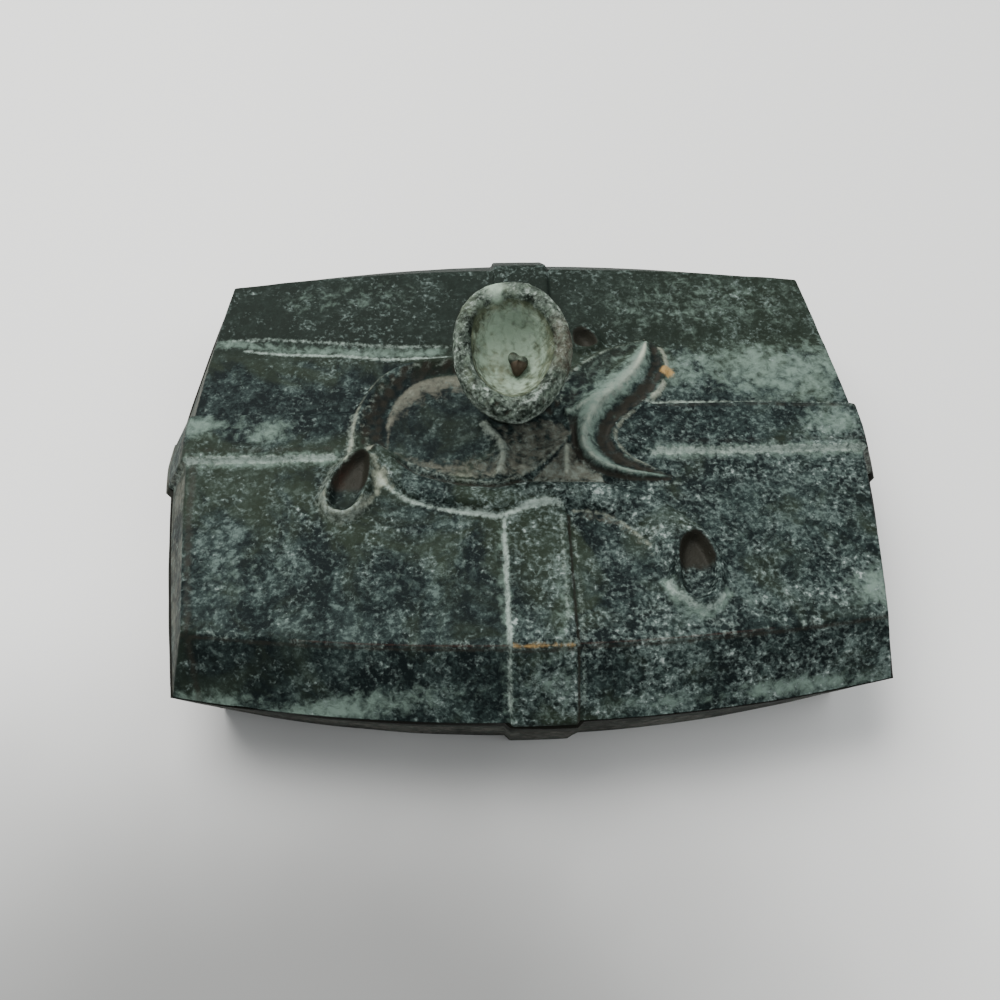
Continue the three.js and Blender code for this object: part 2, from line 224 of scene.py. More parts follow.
def emptyRaster(value=0.0):
    return np.full((raster["rows"], raster["columns"]), value)


def laid(sheet):
    return sheet > raster["empty"] + 1


def rasterPlaces():
    x = raster["left"] + raster["step"] * np.arange(raster["columns"])
    y = raster["front"] + raster["step"] * np.arange(raster["rows"])
    return np.meshgrid(x, y)


def layOn(sheet, x, y, value):
    column = np.rint((x - raster["left"]) / raster["step"]).astype(int).ravel()
    row = np.rint((y - raster["front"]) / raster["step"]).astype(int).ravel()
    np.maximum.at(sheet, (row, column), np.broadcast_to(value, x.shape).ravel())


def layAll(layers, x, y, **values):
    for key, value in values.items():
        layOn(layers[key], x, y, value)


def readRaster(sheet, x, y):
    column = np.clip((x - raster["left"]) / raster["step"], 0, raster["columns"] - 1.001)
    row = np.clip((y - raster["front"]) / raster["step"], 0, raster["rows"] - 1.001)
    j, i = column.astype(int), row.astype(int)
    u, v = column - j, row - i
    return ((sheet[i, j] * (1 - u) + sheet[i, j + 1] * u) * (1 - v)
            + (sheet[i + 1, j] * (1 - u) + sheet[i + 1, j + 1] * u) * v)


def soften(sheet, passes):
    for _ in range(passes):
        for axis in (0, 1):
            sheet = (np.roll(sheet, 1, axis) + np.roll(sheet, -1, axis) + 2 * sheet) / 4
    return sheet


def across(first, second, low, high, count=150, perSpan=60):
    # points between two traced lines: share 0 lies on the first and 1 on the second
    a, b = curvePoints(first, perSpan), curvePoints(second, perSpan)
    share = np.linspace(low, high, count)[None, :]
    x = a[:, :1] + (b[:, :1] - a[:, :1]) * share
    y = a[:, 1:2] + (b[:, 1:2] - a[:, 1:2]) * share
    return x, y, share + 0 * x


def ridgeHeight(x, y, points, half, height):
    d, along = nearLine(x, y, curvePoints(points))
    return height * bell(d, half) * smooth(0.0, 0.1, along) * (1 - 0.5 * smooth(0.85, 1.0, along))


# dish of the knot: traced lines whose points match, heights in millimetres
dish = {
    "backRim": [(-27, -4), (-28, -1), (-28, 2.6), (-26.8, 6.5), (-24.6, 10.6), (-21.9, 13.4), (-18.2, 15),
                (-14, 15.5), (-9.4, 15.6), (-4.4, 14.4), (1, 10.9), (6.6, 5.4)],
    "backFloor": [(-23, -3.5), (-23.1, -0.6), (-23.3, 2.2), (-22.6, 5.4), (-21, 8.4), (-18.5, 10.9),
                  (-15.7, 12.2), (-12.3, 12.7), (-8.6, 12.2), (-4.6, 10.8), (-0.4, 7.8), (4.6, 3)],
    "frontRim": [(-22.6, -4), (-21.2, -5.2), (-18.9, -7.1), (-15.7, -8.7), (-11.9, -9.9), (-8.4, -10.6),
                 (-5, -10.8), (-1.8, -9.9), (1.4, -8.1), (4.2, -5.6), (6.4, -3.1), (8.4, -0.9)],
    "ridge": [(-7.4, 2.2), (-5.8, -0.5), (-3.9, -3.3), (-3.8, -6.2), (-4.7, -9.8)],
    "rim": 1.8, "frontLip": 1.5, "floor": 0.1, "dome": 0.55, "floorRise": 0.1, "frontShare": 0.16,
}


def layDish(knot, x, y):
    # outer slope, inner wall, and a slightly domed floor that rises again to the front lip
    names = ("rim", "frontLip", "floor", "backRim", "backFloor")
    rim, lip, low, backRim, backFloor = (dish[key] for key in names)
    frontFloor = [tuple(p + (q - p) * dish["frontShare"] for p, q in zip(a, b))
                  for a, b in zip(dish["frontRim"], backFloor)]
    bowl, slope = emptyRaster(raster["empty"]), emptyRaster()
    gx, gy, share = across(backRim, backFloor, -0.5, 0)
    layOn(slope, gx, gy, rim * (1 + share / 0.5) ** 1.7)
    gx, gy, share = across(backRim, backFloor, 0, 1)
    layOn(bowl, gx, gy, low + (rim - low) * (1 - share) ** 1.25)
    # brown patina and painted shade on the inner wall, mottled paler near its top
    layAll(knot, gx, gy,
           brown=(0.50 + 0.8 * waves(gx, gy, 66, 1.9)) * smooth(0, 0.16, share) * smooth(1.08, 0.72, share),
           shade=0.7 * smooth(0.30, 0.55, share) * smooth(1, 0.80, share),
           rub=(0.22 + 0.5 * waves(gx, gy, 73, 1.6)) * smooth(0, 0.2, share) * smooth(0.6, 0.2, share))
    gx, gy, share = across(backFloor, frontFloor, 0, 1, 320)
    layOn(bowl, gx, gy, low + dish["dome"] * (1 - (1 - share) ** 3) + dish["floorRise"] * share)
    # dust and a pale edge on the floor, with painted shade over its middle
    layAll(knot, gx, gy,
           dust=np.maximum(0.80 * smooth(0.34, 0, share), 0.34 * smooth(0.80, 0.98, share)),
           cream=0.24 * smooth(0.20, 0.05, share) * smooth(-0.02, 0.04, share),
           shade=0.40 * smooth(0.10, 0.35, share) * smooth(1, 0.75, share))
    gx, gy, share = across(frontFloor, dish["frontRim"], 0, 1, 60)
    domeTop = low + dish["dome"] + dish["floorRise"]
    layOn(bowl, gx, gy, domeTop + (lip - domeTop) * share ** 1.3)
    # a painted highlight on the inside of the front lip, which faces the light, over dust
    layAll(knot, gx, gy, dust=0.50 * smooth(0.9, 0.5, share),
           cream=0.30 * smooth(0.2, 0.6, share) * smooth(1, 0.7, share) * smooth(-20, -14, gx))
    gx, gy, share = across(frontFloor, dish["frontRim"], 1, 1.5, 60)
    layOn(slope, gx, gy, lip * (1 - (share - 1) / 0.5) ** 1.2)

    bowl = bowl + ridgeHeight(x, y, dish["ridge"], 1.0, 1.3)
    cover = laid(bowl)
    knot["height"] = np.where(cover, bowl, softMax(knot["height"], slope, 0.3))
    # painted highlights along the ridge and along the front lip
    paintLines(knot, x, y, [("rub", dish["ridge"], 1.0, 0.70, 0.05),
                            ("cream", dish["ridge"], 0.6, 0.34, 0.3)], cover)
    paintLines(knot, x, y, [("rub", dish["frontRim"], 0.45, 0.42, 0.1, 0.95),
                            ("cream", dish["frontRim"], 0.40, 0.36, 0.55, 0.95)])
    # the floor is lighter to the right of the ridge: dust, and painted light that lifts the shade the knob
    # casts there
    rightFloor = cover * smooth(-5.5, -2.5, x + 0.12 * y) * smooth(4, 0, y)
    blotch = waves(x, y, 61, 3.2) + 0.6 * waves(x, y, 64, 1.2)
    strengthen(knot, inside=cover * 1.0, dust=(0.56 + 0.5 * blotch) * rightFloor,
               rub=(0.22 + 0.5 * blotch) * rightFloor)
    knot["shade"] = knot["shade"] * (1 - 0.5 * rightFloor)
    return cover


# web of the knot: a low hollow floor between the dish, the leaf and the ribbon
web = {
    "back": [(1.4, -9.6), (4.6, -6.2), (8.2, -2.2), (9.6, -6.4), (12.4, -9.6)],
    "front": [(0.9, -10.6), (4, -10.8), (6.8, -10.9), (9.6, -10.9), (12.6, -10.8)],
    "spine": [(6.9, -3), (6.5, -9.4)], "height": 0.8,
}


def layWeb(knot, x, y, dishCover):
    floor = emptyRaster(raster["empty"])
    gx, gy, share = across(web["back"], web["front"], 0, 1)
    layOn(floor, gx, gy, web["height"] * (1 - 0.5 * np.sin(math.pi * share)))
    cover = laid(floor) & ~dishCover
    lower = smooth(-4, -9.5, y)
    blotch = waves(x, y, 62, 2.6) + 0.6 * waves(x, y, 63, 1.1)
    # the web is lighter toward the front: dust, and painted light that lifts the shade the knob casts there;
    # painted highlights run along its spine and front edge
    fill(knot, cover, height=floor + ridgeHeight(x, y, web["spine"], 0.8, 0.8),
         dust=0.52 + 0.30 * lower + 0.5 * blotch, shade=0.62 - 0.3 * lower - 0.4 * blotch,
         brown=0.30 * (1 - lower))
    strengthen(knot, inside=cover * 1.0, rub=(0.16 + 0.28 * lower + 0.4 * blotch) * cover)
    paintLines(knot, x, y, [("rub", web["spine"], 0.9, 0.60), ("cream", web["spine"], 0.55, 0.46, 0.1),
                            ("cream", web["front"], 0.45, 0.54, 0.1, 0.95)], cover)


# leaf of the knot; its crest also gives heights
leaf = {
    "left": [(23.1, 20.7), (18.6, 18.6), (13.8, 16.4), (9.7, 13.3), (7.4, 9.6), (6.5, 6), (7.3, 2.6),
             (7.9, -0.8), (8.1, -4), (9.6, -7.4), (13, -9.5), (18, -10.6), (24, -10.4)],
    "crest": [(23, 19.4, 1.4), (21.6, 14.9, 2.5), (19.2, 10.7, 2.9), (16.1, 7.3, 3.1), (13.6, 4.9, 3.1),
              (11.7, 2.3, 3.1), (10.1, -0.6, 3.1), (9.4, -3, 3), (9.9, -5.6, 2.9), (12.2, -8, 2.7),
              (16, -9.3, 2.3), (19.6, -9.6, 1.6), (23.6, -9.8, 0.5)],
    "right": [(24, 20.2), (25.5, 16.4), (25.4, 12), (23.4, 7.6), (19.8, 4.1), (16.6, 1.6), (15.1, -1.1),
              (15.3, -3.4), (16.8, -5.5), (19, -7.2), (21, -8.3), (22.8, -9), (24.6, -9.8)],
    "second": [(5.8, 2.7), (8.6, 3.5), (11.3, 4.9), (13.6, 6.2)],
    "rimShare": 0.38, "valleyShare": 0.16, "outside": 0.22, "turns": {"left": 0.60, "right": 0.72},
}


def layLeaf(knot, x, y):
    # from the crest down to the hollow and up to the rim, steeper on the right
    fold, slope = emptyRaster(raster["empty"]), emptyRaster()
    rim, low, beyond = leaf["rimShare"], leaf["valleyShare"], leaf["outside"]
    crest = curvePoints(leaf["crest"], 60)[:, 2:3]
    for edge, turn in leaf["turns"].items():
        gx, gy, share = across(leaf["crest"], leaf[edge], 0, 1, 220)
        profile = low + (1 - low) * (1 - share) ** 1.9 + (rim - low) * smooth(turn, 1, share)
        layOn(fold, gx, gy, crest * profile)
        film = 0.62 * smooth(0.58, 0.04, share) + 0.13 + 0.3 * waves(gx, gy, 70, 1.3)
        if edge == "right":
            # the trough right of the crest: brown patina and painted shade on the wall turned from the light
            far = smooth(9, 14, gy)
            depth = 0.74 - 0.30 * far + 0.8 * waves(gx, gy, 65, 1.8)
            layAll(knot, gx, gy, green=np.where(share < 0.9, film, 0.3),
                   brown=depth * smooth(0.30 + 0.16 * far, 0.58, share) * smooth(0.99, 0.80, share),
                   shade=0.9 * smooth(0.36, 0.56, share) * smooth(0.99, 0.84, share))
        else:
            # the left side: brown and painted shade along its front, and a pale lip
            behind = smooth(0, 4, gy)  # the part of the leaf beside the knob and behind it
            inFront = 0.80 * smooth(0.24, 0.50, share) * (1 - behind)
            atBack = 0.30 * smooth(0.50, 0.66, share) * smooth(0.97, 0.86, share) * behind
            paleLip = (0.42 + 0.5 * waves(gx, gy, 72, 2.2)) * smooth(0.88, 0.99, share)
            layAll(knot, gx, gy, brown=np.maximum(inFront, atBack), green=film + 0.12 * behind,
                   shade=0.8 * smooth(0.50, 0.72, share) * smooth(1, 0.9, share),
                   rub=paleLip * (0.4 + 0.6 * behind))
        # painted highlight along the crest and at its top
        bright = (0.60 + 0.20 * smooth(7, 14, gy) + 0.5 * waves(gx, gy, 69, 1.4)) * smooth(0.5, 1.8, crest)
        glow = 0.42 * smooth(0.16, 0.02, share) * smooth(0.8, 2.2, crest) * (0.6 + 0.7 * smooth(8, 16, gy))
        tipGlow = 0.30 * smooth(0.30, 0.05, share) * smooth(12, 15.5, gy) * smooth(20, 17, gy)
        layAll(knot, gx, gy, rub=bright * smooth(0.34, 0.02, share), cream=glow + tipGlow)
        gx, gy, share = across(leaf["crest"], leaf[edge], 1, 1 + beyond, 60)
        layOn(slope, gx, gy, crest * rim * (1 - (share - 1) / beyond) ** 1.3)
    fold = fold + ridgeHeight(x, y, leaf["second"], 1.3, 0.9) * laid(fold)
    cover = laid(fold)
    paintLines(knot, x, y, [("green", leaf["second"], 1.2, 0.74), ("rub", leaf["second"], 0.7, 0.50)], cover)
    knot["height"] = np.where(cover, fold, softMax(knot["height"], slope, 0.25))
    fill(knot, cover, inside=1.0, dust=0.0)
    return cover


# ribbon tail of the knot
ribbon = {
    "back": [(-24, -2.6), (-22.4, -4.1), (-20.9, -6.2), (-18.4, -8.2), (-15.6, -9.4), (-11.8, -10.6),
             (-7.8, -11.2), (-4.4, -11.3), (-0.6, -10.4), (5.3, -10.5), (11.9, -10.8), (18.3, -12),
             (21.6, -14.2), (24.4, -17), (27.6, -19.6), (29.3, -22)],
    "front": [(-25.6, -3.2), (-25.2, -5.8), (-22.9, -9.3), (-20.1, -12.2), (-17.4, -13.7), (-13.4, -14.8),
              (-9.4, -15.6), (-3.8, -16.1), (0.2, -15.5), (4.3, -15), (8, -15.5), (11.5, -16.2),
              (14.8, -17.8), (17.7, -20.6), (19.5, -23.8), (20.4, -26.6)],
    "height": 2.2, "crease": 0.22, "creasePlace": 0.66, "creaseHalf": 0.07,
}


def layRibbon(knot, x, y, dishCover, leafCover):
    # rounded across, with one faint crease along it
    strip = emptyRaster(raster["empty"])
    gx, gy, share = across(ribbon["back"], ribbon["front"], 0, 1, 160)
    dome = np.clip(4 * share * (1 - share), 0, 1) ** 0.55
    crease = ribbon["crease"] * bell(share - ribbon["creasePlace"], ribbon["creaseHalf"]) * smooth(6, 16, gx)
    layOn(strip, gx, gy, ribbon["height"] * dome - crease)
    cover = laid(strip) & ~leafCover
    fill(knot, cover, height=np.maximum(strip, np.where(dishCover, knot["height"], 0)), inside=0.25, dust=0.0,
         grains=1.0)
    # dark lines along the ribbon's edges: brown patina in the crevices, and painted shade under the dish's
    # front lip
    paintLines(knot, x, y, [("brown", ribbon["back"], 0.34, 0.80, 0.06, 0.74),
                            ("brown", ribbon["front"], 0.30, 0.40, 0.3, 0.66)])


# light mineral crust, film, dust and dried stain in the corners beside the knot, and painted highlights
# along the lit lips of the dish, the leaf and the ribbon's start: layer, points, half width, strength
knotLines = [
    ("crust", [(-33, -12.8), (-32.2, -14.7), (-30.4, -15.9), (-28.5, -15.5), (-26.9, -14)], 0.55, 0.50),
    ("crust", [(-25, -8.3), (-23.2, -10.1), (-21.2, -11.9), (-18.9, -13.5), (-15.8, -14.5), (-12.6, -15.4),
               (-8.6, -16), (-4.3, -16.6)], 0.48, 0.66),
    ("crust", [(-12.6, -15.4), (-8.6, -16), (-4.3, -16.6), (-2.2, -16.1), (0.2, -15.1), (3.5, -14.6),
               (6.2, -15.5)], 0.62, 0.80),
    ("crust", [(20.4, -28.2), (21.2, -30.9), (22.5, -32.6), (24.3, -33.9), (26.4, -34), (28.2, -32.8),
               (29.4, -31)], 0.52, 0.68),
    ("crust", [(19.2, -10.9), (25.6, -11.2)], 0.5, 0.40),
    ("crust", [(24.6, -34.6), (27.6, -36.2), (31, -36.4)], 1.1, 0.34),
    ("green", [(20.2, -28), (21.2, -31), (22.6, -33), (24.6, -34.4), (26.8, -34.4), (28.6, -33),
               (30.2, -30.4)], 1.1, 0.62),
    ("rub", [(-30, -6.8), (-29.2, -3.2), (-28.9, 0.4), (-28.4, 4.4)], 0.9, 0.56),
    ("rub", [(-33.4, -12.4), (-33, -9.6), (-31.6, -6.8), (-30, -4.8)], 0.8, 0.44),
    ("dust", [(7.6, -16.8), (11.6, -17.4), (15, -19.4), (17.6, -22.2), (19.4, -25.8)], 0.8, 0.40),
    ("dust", [(18.5, -22.5), (20.4, -19)], 1.2, 0.40),
    ("cream", [(-25.3, -4.4), (-24.6, -7), (-23.8, -9.2), (-21.6, -11.4)], 0.80, 0.46),
    ("cream", [(-23.6, -8.8), (-24.4, -11.2), (-25.8, -13.4), (-27.6, -15.2)], 0.75, 0.44),
    ("cream", [(-24.3, -7.6), (-23.6, -10.4)], 1.5, 0.70),
    ("cream", [(6.3, -16), (9, -16), (11.4, -16.5), (13.9, -17.7), (15.9, -19.4), (17.8, -21.5),
               (19.4, -23.7)], 0.42, 0.42),
    ("cream", [(-29.9, -6.6), (-29.1, -3.2), (-28.8, 0), (-28.5, 3.2), (-27.9, 5.8)], 0.45, 0.50),
    ("cream", [(-28.8, 1.6), (-27.5, 6.8), (-25.6, 10.6), (-22.6, 13.6)], 0.55, 0.34),
    ("cream", [(-26.2, -4.6), (-25.9, -3.2), (-24.3, -2.6), (-23, -3.8)], 0.36, 0.62),
    ("cream", [(25.2, 18.6), (26, 15.6), (25.9, 12.4)], 0.60, 0.66),
    ("cream", [(25.4, 10.4), (24, 8), (22, 5.9)], 0.60, 0.62),
    ("cream", [(20, 4), (17, 1.8), (15.5, -1), (15.7, -3.3), (17.2, -5.5), (19.4, -7.2), (22.2, -8.8)],
     0.55, 0.42),
    ("cream", [(23.8, 20.8), (18.6, 18.9), (13.8, 16.7), (9.6, 13.6), (7.2, 9.8)], 0.42, 0.26),
]

# rolled ends of the ribbon: the edge of each hollow, heights, and how strong the painted highlight round it
# is
tips = {
    "right": {"rim": 2.3, "floor": -0.5, "run": 2.0, "shadeFrom": -28.6, "glow": 0.0, "backGlow": 0.0,
              "edge": [(23.1, -23.6), (24.6, -21.4), (26.6, -21.3), (28, -24), (28.6, -27.3), (28.2, -30),
                       (26.8, -32.3), (24.5, -33), (22.7, -31.4), (22.5, -27.6)]},
    "left": {"rim": 2.0, "floor": -0.4, "run": 1.6, "shadeFrom": -12.8, "glow": 0.42, "backGlow": 0.22,
             "edge": [(-32.1, -14.4), (-32.4, -12.3), (-31.6, -9.6), (-30.2, -6.9), (-28.3, -4.6),
                      (-26.6, -4), (-25.7, -5.6), (-25.8, -9.4), (-26.6, -12.3), (-27.6, -14.5),
                      (-29.2, -15.8), (-30.9, -15.5)]},
    "back": {"rim": 1.4, "floor": -0.3, "run": 1.6, "shadeFrom": 14.0, "glow": 0.12, "backGlow": 0.0,
             "edge": [(9.8, 20.8), (10.2, 22.4), (11.6, 22.9), (13.2, 22), (14.1, 20.2), (13.9, 18.8),
                      (12.2, 18.1), (10.4, 18.8)]},
}


def outsideTip(x, y, tip):
    # millimetres outside the edge of a rolled ribbon end, below zero within its hollow
    line = curvePoints(tip["edge"], 8, closed=True)
    near = (np.abs(x - line[:, 0].mean()) < 9) & (np.abs(y - line[:, 1].mean()) < 11)
    d = np.full(x.shape, 9.0)
    reach, _ = nearLine(x[near], y[near], np.vstack([line, line[:1]]))
    d[near] = np.where(insideOutline(x[near], y[near], line), -reach, reach)
    return d


def layTips(knot, x, y):
    # a sharp rim round a deep hollow, darkest on its back wall
    for name, tip in tips.items():
        d = outsideTip(x, y, tip)
        outside = tip["rim"] * np.clip(1 - np.clip(d - 0.3, 0, 9) / tip["run"], 0, 1) ** 1.6
        hollow = tip["floor"] + (tip["rim"] - tip["floor"]) * np.clip(1 + d / 2.0, 0, 1) ** 2.0
        knot["height"] = np.where(d < 0, hollow, softMax(knot["height"], outside, 0.25))
        back = smooth(tip["shadeFrom"], tip["shadeFrom"] + 3.5, y)
        fill(knot, d < 0.4, green=0.0)
        fill(knot, d < 0.3, brown=smooth(0.25, -0.25, d) * (0.04 + 0.96 * back))
        fill(knot, d < 0.1, dust=0.0, crust=0.0)
        fill(knot, d < 0, inside=0.3 + 0.7 * back, cream=0.0)
        # a painted highlight on the lit rim round the hollow
        glow = tip["glow"] + (tip["backGlow"] - tip["glow"]) * back
        if name == "left":
            glow = glow * (1 - 0.8 * smooth(-28.4, -27.0, x) * smooth(-14.0, -12.0, y))
        strengthen(knot, cream=glow * bell(d - 0.40, 0.50), rub=1.3 * glow * bell(d - 0.7, 1.1))
        fill(knot, d < -0.4, cream=0.0, rub=0.0)
        # painted shade inside the hollow, deepest in its front half and low on its back wall
        wall = (0.66 + 0.5 * waves(x, y, 67, 1.7)) * (1 - back) * smooth(-0.1, -0.7, d)
        redBrown = 0.40 * back * smooth(-27.6, -30.4, x - 0.25 * (y + 9)) if name == "left" else 0.0
        fill(knot, d < -0.2, grains=(0.3 + 1.4 * waves(x, y, 68, 1.6)) * (1 - back), rust=redBrown,
             shade=np.maximum(wall, 0.5 * smooth(-0.4, -1.4, d) * back))


# layers painted on the knot, and how many times each is softened
knotLayers = {"height": 7, "brown": 4, "dust": 10, "green": 12, "inside": 3, "rub": 2, "crust": 1, "shade": 8,
              "grains": 6, "cream": 3, "rust": 6}


def buildKnot():
    x, y = rasterPlaces()
    knot = {key: emptyRaster() for key in knotLayers}
    knot["height"] = bandRelief(x, y)
    dishCover = layDish(knot, x, y)
    layWeb(knot, x, y, dishCover)
    leafCover = layLeaf(knot, x, y)
    layRibbon(knot, x, y, dishCover, leafCover)
    paintLines(knot, x, y, knotLines)
    layTips(knot, x, y)
    return {key: soften(knot[key], passes) for key, passes in knotLayers.items()}


# lines of the lid's mesh along and across it: most of them from low to high, under the knot,
# and a few more in a strip at both ends, where the walls fall away
sheetLines = {
    "along": {"count": 380, "low": -0.60, "high": 0.56, "share": 0.70, "strip": 0.085, "ends": 24},
    "across": {"count": 330, "low": -0.72, "high": 0.54, "share": 0.74, "strip": 0.20, "ends": 42},
}
# slow waves of the cast surface: height, seed and length in millimetres
castWaves = ((0.07, 3, 16), (0.045, 4, 5), (0.02, 5, 1.8))


def meshLines(count, low, high, share, strip, ends):
    outer = int(count * (1 - share) / 2) + 1
    lines = np.concatenate([np.linspace(-1, low, outer)[:-1], np.linspace(low, high, int(count * share)),
                            np.linspace(high, 1, outer)[1:]])
    edge = 1 - np.linspace(0, 1, ends) ** 1.2 * strip
    return np.unique(np.concatenate([-edge, lines[np.abs(lines) < 1 - strip], edge]))


def makeLidSheet(knot):
    shareX, shareY = np.meshgrid(meshLines(**sheetLines["along"]), meshLines(**sheetLines["across"]))
    halfLength, halfDepth = outline["halfLength"], outline["halfDepth"]
    x, y = planPlace(shareX, shareY, halfLength, halfDepth, outline["endBow"], outline["sideBow"])
    # how far up the leaning walls each point lies
    endRun = outline["endRun"] + (outline["endBow"] - outline["topEndBow"]) * (1 - np.abs(shareY))
    endRun = endRun + outline["leftLean"] * smooth(0, -0.2, shareX)
    sideRun = outline["bevelRun"] + (outline["sideBow"] - outline["topSideBow"]) * (1 - shareX ** 2)
    fromEnd = (1 - np.abs(shareX)) * reachAt(shareY, halfLength, outline["endBow"]) / endRun
    fromSide = (1 - np.abs(shareY)) * depthAt(shareX, halfDepth, outline["sideBow"]) / sideRun
    rise = np.minimum(np.minimum(fromEnd, fromSide), 1.0)
    toCrease = (fromSide - 1) * sideRun  # below zero on the bevels
    dip = valley["depth"] * np.clip(1 - np.abs(y - valleyPlace(x)) / valley["half"], 0, 1)
    height = seamLevel + outline["lidHeight"] * rise - dip * smooth(0.9, 1.0, rise)
    points = np.stack([x, y, height], axis=-1)
    for _ in range(2):  # cast edges are a little round
        points[1:-1, 1:-1, 2] = (points[1:-1, 1:-1, 2] * 4 + points[:-2, 1:-1, 2] + points[2:, 1:-1, 2]
                                 + points[1:-1, :-2, 2] + points[1:-1, 2:, 2]) / 8
    normal = np.cross(np.gradient(points, axis=1), np.gradient(points, axis=0))
    normal /= np.linalg.norm(normal, axis=-1, keepdims=True) + 1e-12
    relief = bandRelief(x, y)
    left, front, step = raster["left"], raster["front"], raster["step"]
    near = ((x > left + 1) & (x < left + step * raster["columns"] - 1)
            & (y > front + 1) & (y < front + step * raster["rows"] - 1))
    relief[near] = readRaster(knot["height"], x[near], y[near])
    uneven = sum(size * waves(x, y, seed, length) for size, seed, length in castWaves)
    points = points + normal * (relief * 0.985 + uneven - 0.09)[..., None]  # stays inside the solid's height
    points[..., 2] = np.maximum(points[..., 2], seamLevel)
    points[[0, -1], :, 2] = points[:, [0, -1], 2] = seamLevel
    place = {"x": x, "y": y, "rise": rise, "toCrease": toCrease, "near": near, "fromEnd": fromEnd,
             "fromSide": fromSide, "shareX": shareX, "shareY": shareY}
    return points, place


# where the patina has turned pale green: place, size, turn and strength
greenPatches = [
    ((-55, 2), (4.6, 2.6), 0, 0.70), ((-43, 0.6), (4.2, 2.6), 10, 0.62), ((-49, 1.6), (9, 3.4), 0, 0.28),
    ((47, 13), (16, 7.5), 0, 0.62), ((32, 13.5), (12, 6), 0, 0.48), ((53, 0.4), (6, 3.8), 0, 0.60),
    ((53.5, -30.5), (6, 3.6), 20, 0.62), ((-31, -45.6), (20, 1.9), 4, 0.66),
    ((-48, -43.4), (9, 1.4), -6, 0.5), ((40, -43.9), (12, 1.3), 6, 0.62),
    ((20, -45.7), (12, 1.2), 3, 0.40), ((3, -44), (5, 4), 0, 0.34), ((34, 29), (26, 10), 0, 0.26),
    ((-30, 32), (16, 5), 6, 0.24), ((-45, -26), (14, 7), 0, 0.18), ((36, -18), (20, 12), 0, 0.14),
    ((-18, -24), (18, 9), 0, 0.14),
]

# the two edges of the hollow line across the back, where crust has gathered
foldLines = [
    ("deposit", [(-54.8, 22.2), (-44.9, 22.2), (-39.4, 21.6), (-30.4, 20.7), (-21.4, 20), (-10, 19.7)],
     0.5, 0.46),
    ("deposit", [(-50, 19.9), (-44.6, 18.9), (-39.2, 18.5), (-30.3, 17.8), (-21.3, 16.9), (-10, 17.2)],
     0.5, 0.66),
]


def paintBesideBands(paint, x, y, place):
    # light crust in the corners beside the bands and along the fold across the back, painted shade on the
    # cross band's right face, and painted highlights along the lengthwise band's back edge
    middle, half = bands["crossPlace"], bands["halfLengthwise"]
    toCrease, wander = place["toCrease"], 0.18 * waves(x, y, 41, 9)
    front, onTop = smooth(-15.8, -17.4, y), smooth(-0.3, 0.6, toCrease)
    ends = np.maximum(0.70 * smooth(18, 23, x), 0.72 * smooth(-29.5, -32, x))
    rightPart, nearLeaf, leftPart = smooth(20, 22, x), smooth(36, 30, x), smooth(-12, -14, x)
    # distances from the edges of the bands and from the fold
    leftEdge, rightEdge = x - middle + bands["halfCross"] + wander, x - middle - bands["halfCross"] + wander
    below, above = y + half + wander, y - half - bands["wider"] * smooth(60, 36, x) + wander
    fold = y - valleyPlace(x) + wander
    lipCrust = 0.34 * smooth(-30, -34, y) * smooth(-0.1, 0.4, waves(x, y, 44, 7))
    strokes = (  # layer, strength, distance, half width
        ("deposit", (0.56 + 0.22 * onTop) * front, leftEdge + 0.1, 0.48),
        ("deposit", 0.32 * front, rightEdge - 1.0, 0.55),
        ("deposit", 0.40 * front * onTop, rightEdge + 1.1, 0.50),
        # painted shade on the right face of the cross band
        ("brown", 0.75 * front, rightEdge - 0.1, 0.34), ("green", 0.35 * front, leftEdge + 0.4, 1.3),
        ("green", 0.34 * front * onTop * smooth(-20, -30, y), rightEdge + 1.8, 1.6),
        ("deposit", ends, below + 0.2, 0.56), ("rub", 0.6 * ends, below + 0.2, 0.9),
        ("green", 0.75 * ends, below + 0.4, 1.5), ("brown", 0.5 * ends, below - 1.5, 0.7),
        # painted highlights along the back edge of the lengthwise band, with some crust
        ("rub", (0.46 + 0.26 * nearLeaf) * rightPart, above - 0.35, 0.50),
        ("deposit", (0.12 + 0.36 * nearLeaf) * rightPart, above - 0.35, 0.44),
        ("brown", 0.45 * smooth(21, 24, x), above + 0.6, 0.6),
        ("rub", 0.40 * smooth(-40, -44, x), y - half - 0.25 + wander, 0.32),
        ("green", 0.50 * leftPart, fold, 1.5),
        ("brown", 0.30 * leftPart * smooth(-48, -36, x), fold + 2.6, 0.5),
        ("deposit", lipCrust, toCrease, 0.8),
    )
    for key, strength, offset, width in strokes:
        strengthen(paint, **{key: strength * bell(offset, width)})
    paintLines(paint, x, y + wander, foldLines)
    uneven = 0.86 + 0.22 * waves(x, y, 46, 5) + 0.14 * waves(x, y, 47, 1.6)
    paint["deposit"] = paint["deposit"] * smooth(0.05, 0.2, place["rise"]) * uneven


def paintEndWalls(paint, x, y, place):
    # the left end wall is bare and painted light grey, a painted reflection of the pale floor; the right one
    # is darker
    fromEnd = place["fromEnd"]
    onEnd = smooth(1.02, 0.90, fromEnd) * (fromEnd < place["fromSide"])
    for key, loss in (("green", 0.8), ("deposit", 0.7), ("cream", 1.0), ("brown", 1.0)):
        paint[key] = paint[key] * (1 - loss * onEnd)
    strengthen(paint, brown=0.6 * onEnd * (x > 0),
               dust=(0.40 + 0.4 * waves(y, place["rise"] * 6, 48, 9)) * onEnd * (x < 0))
    strengthen(paint, brown=0.55 * bell(fromEnd - 1.25, 0.22) * (x < 0) * (y < -4))


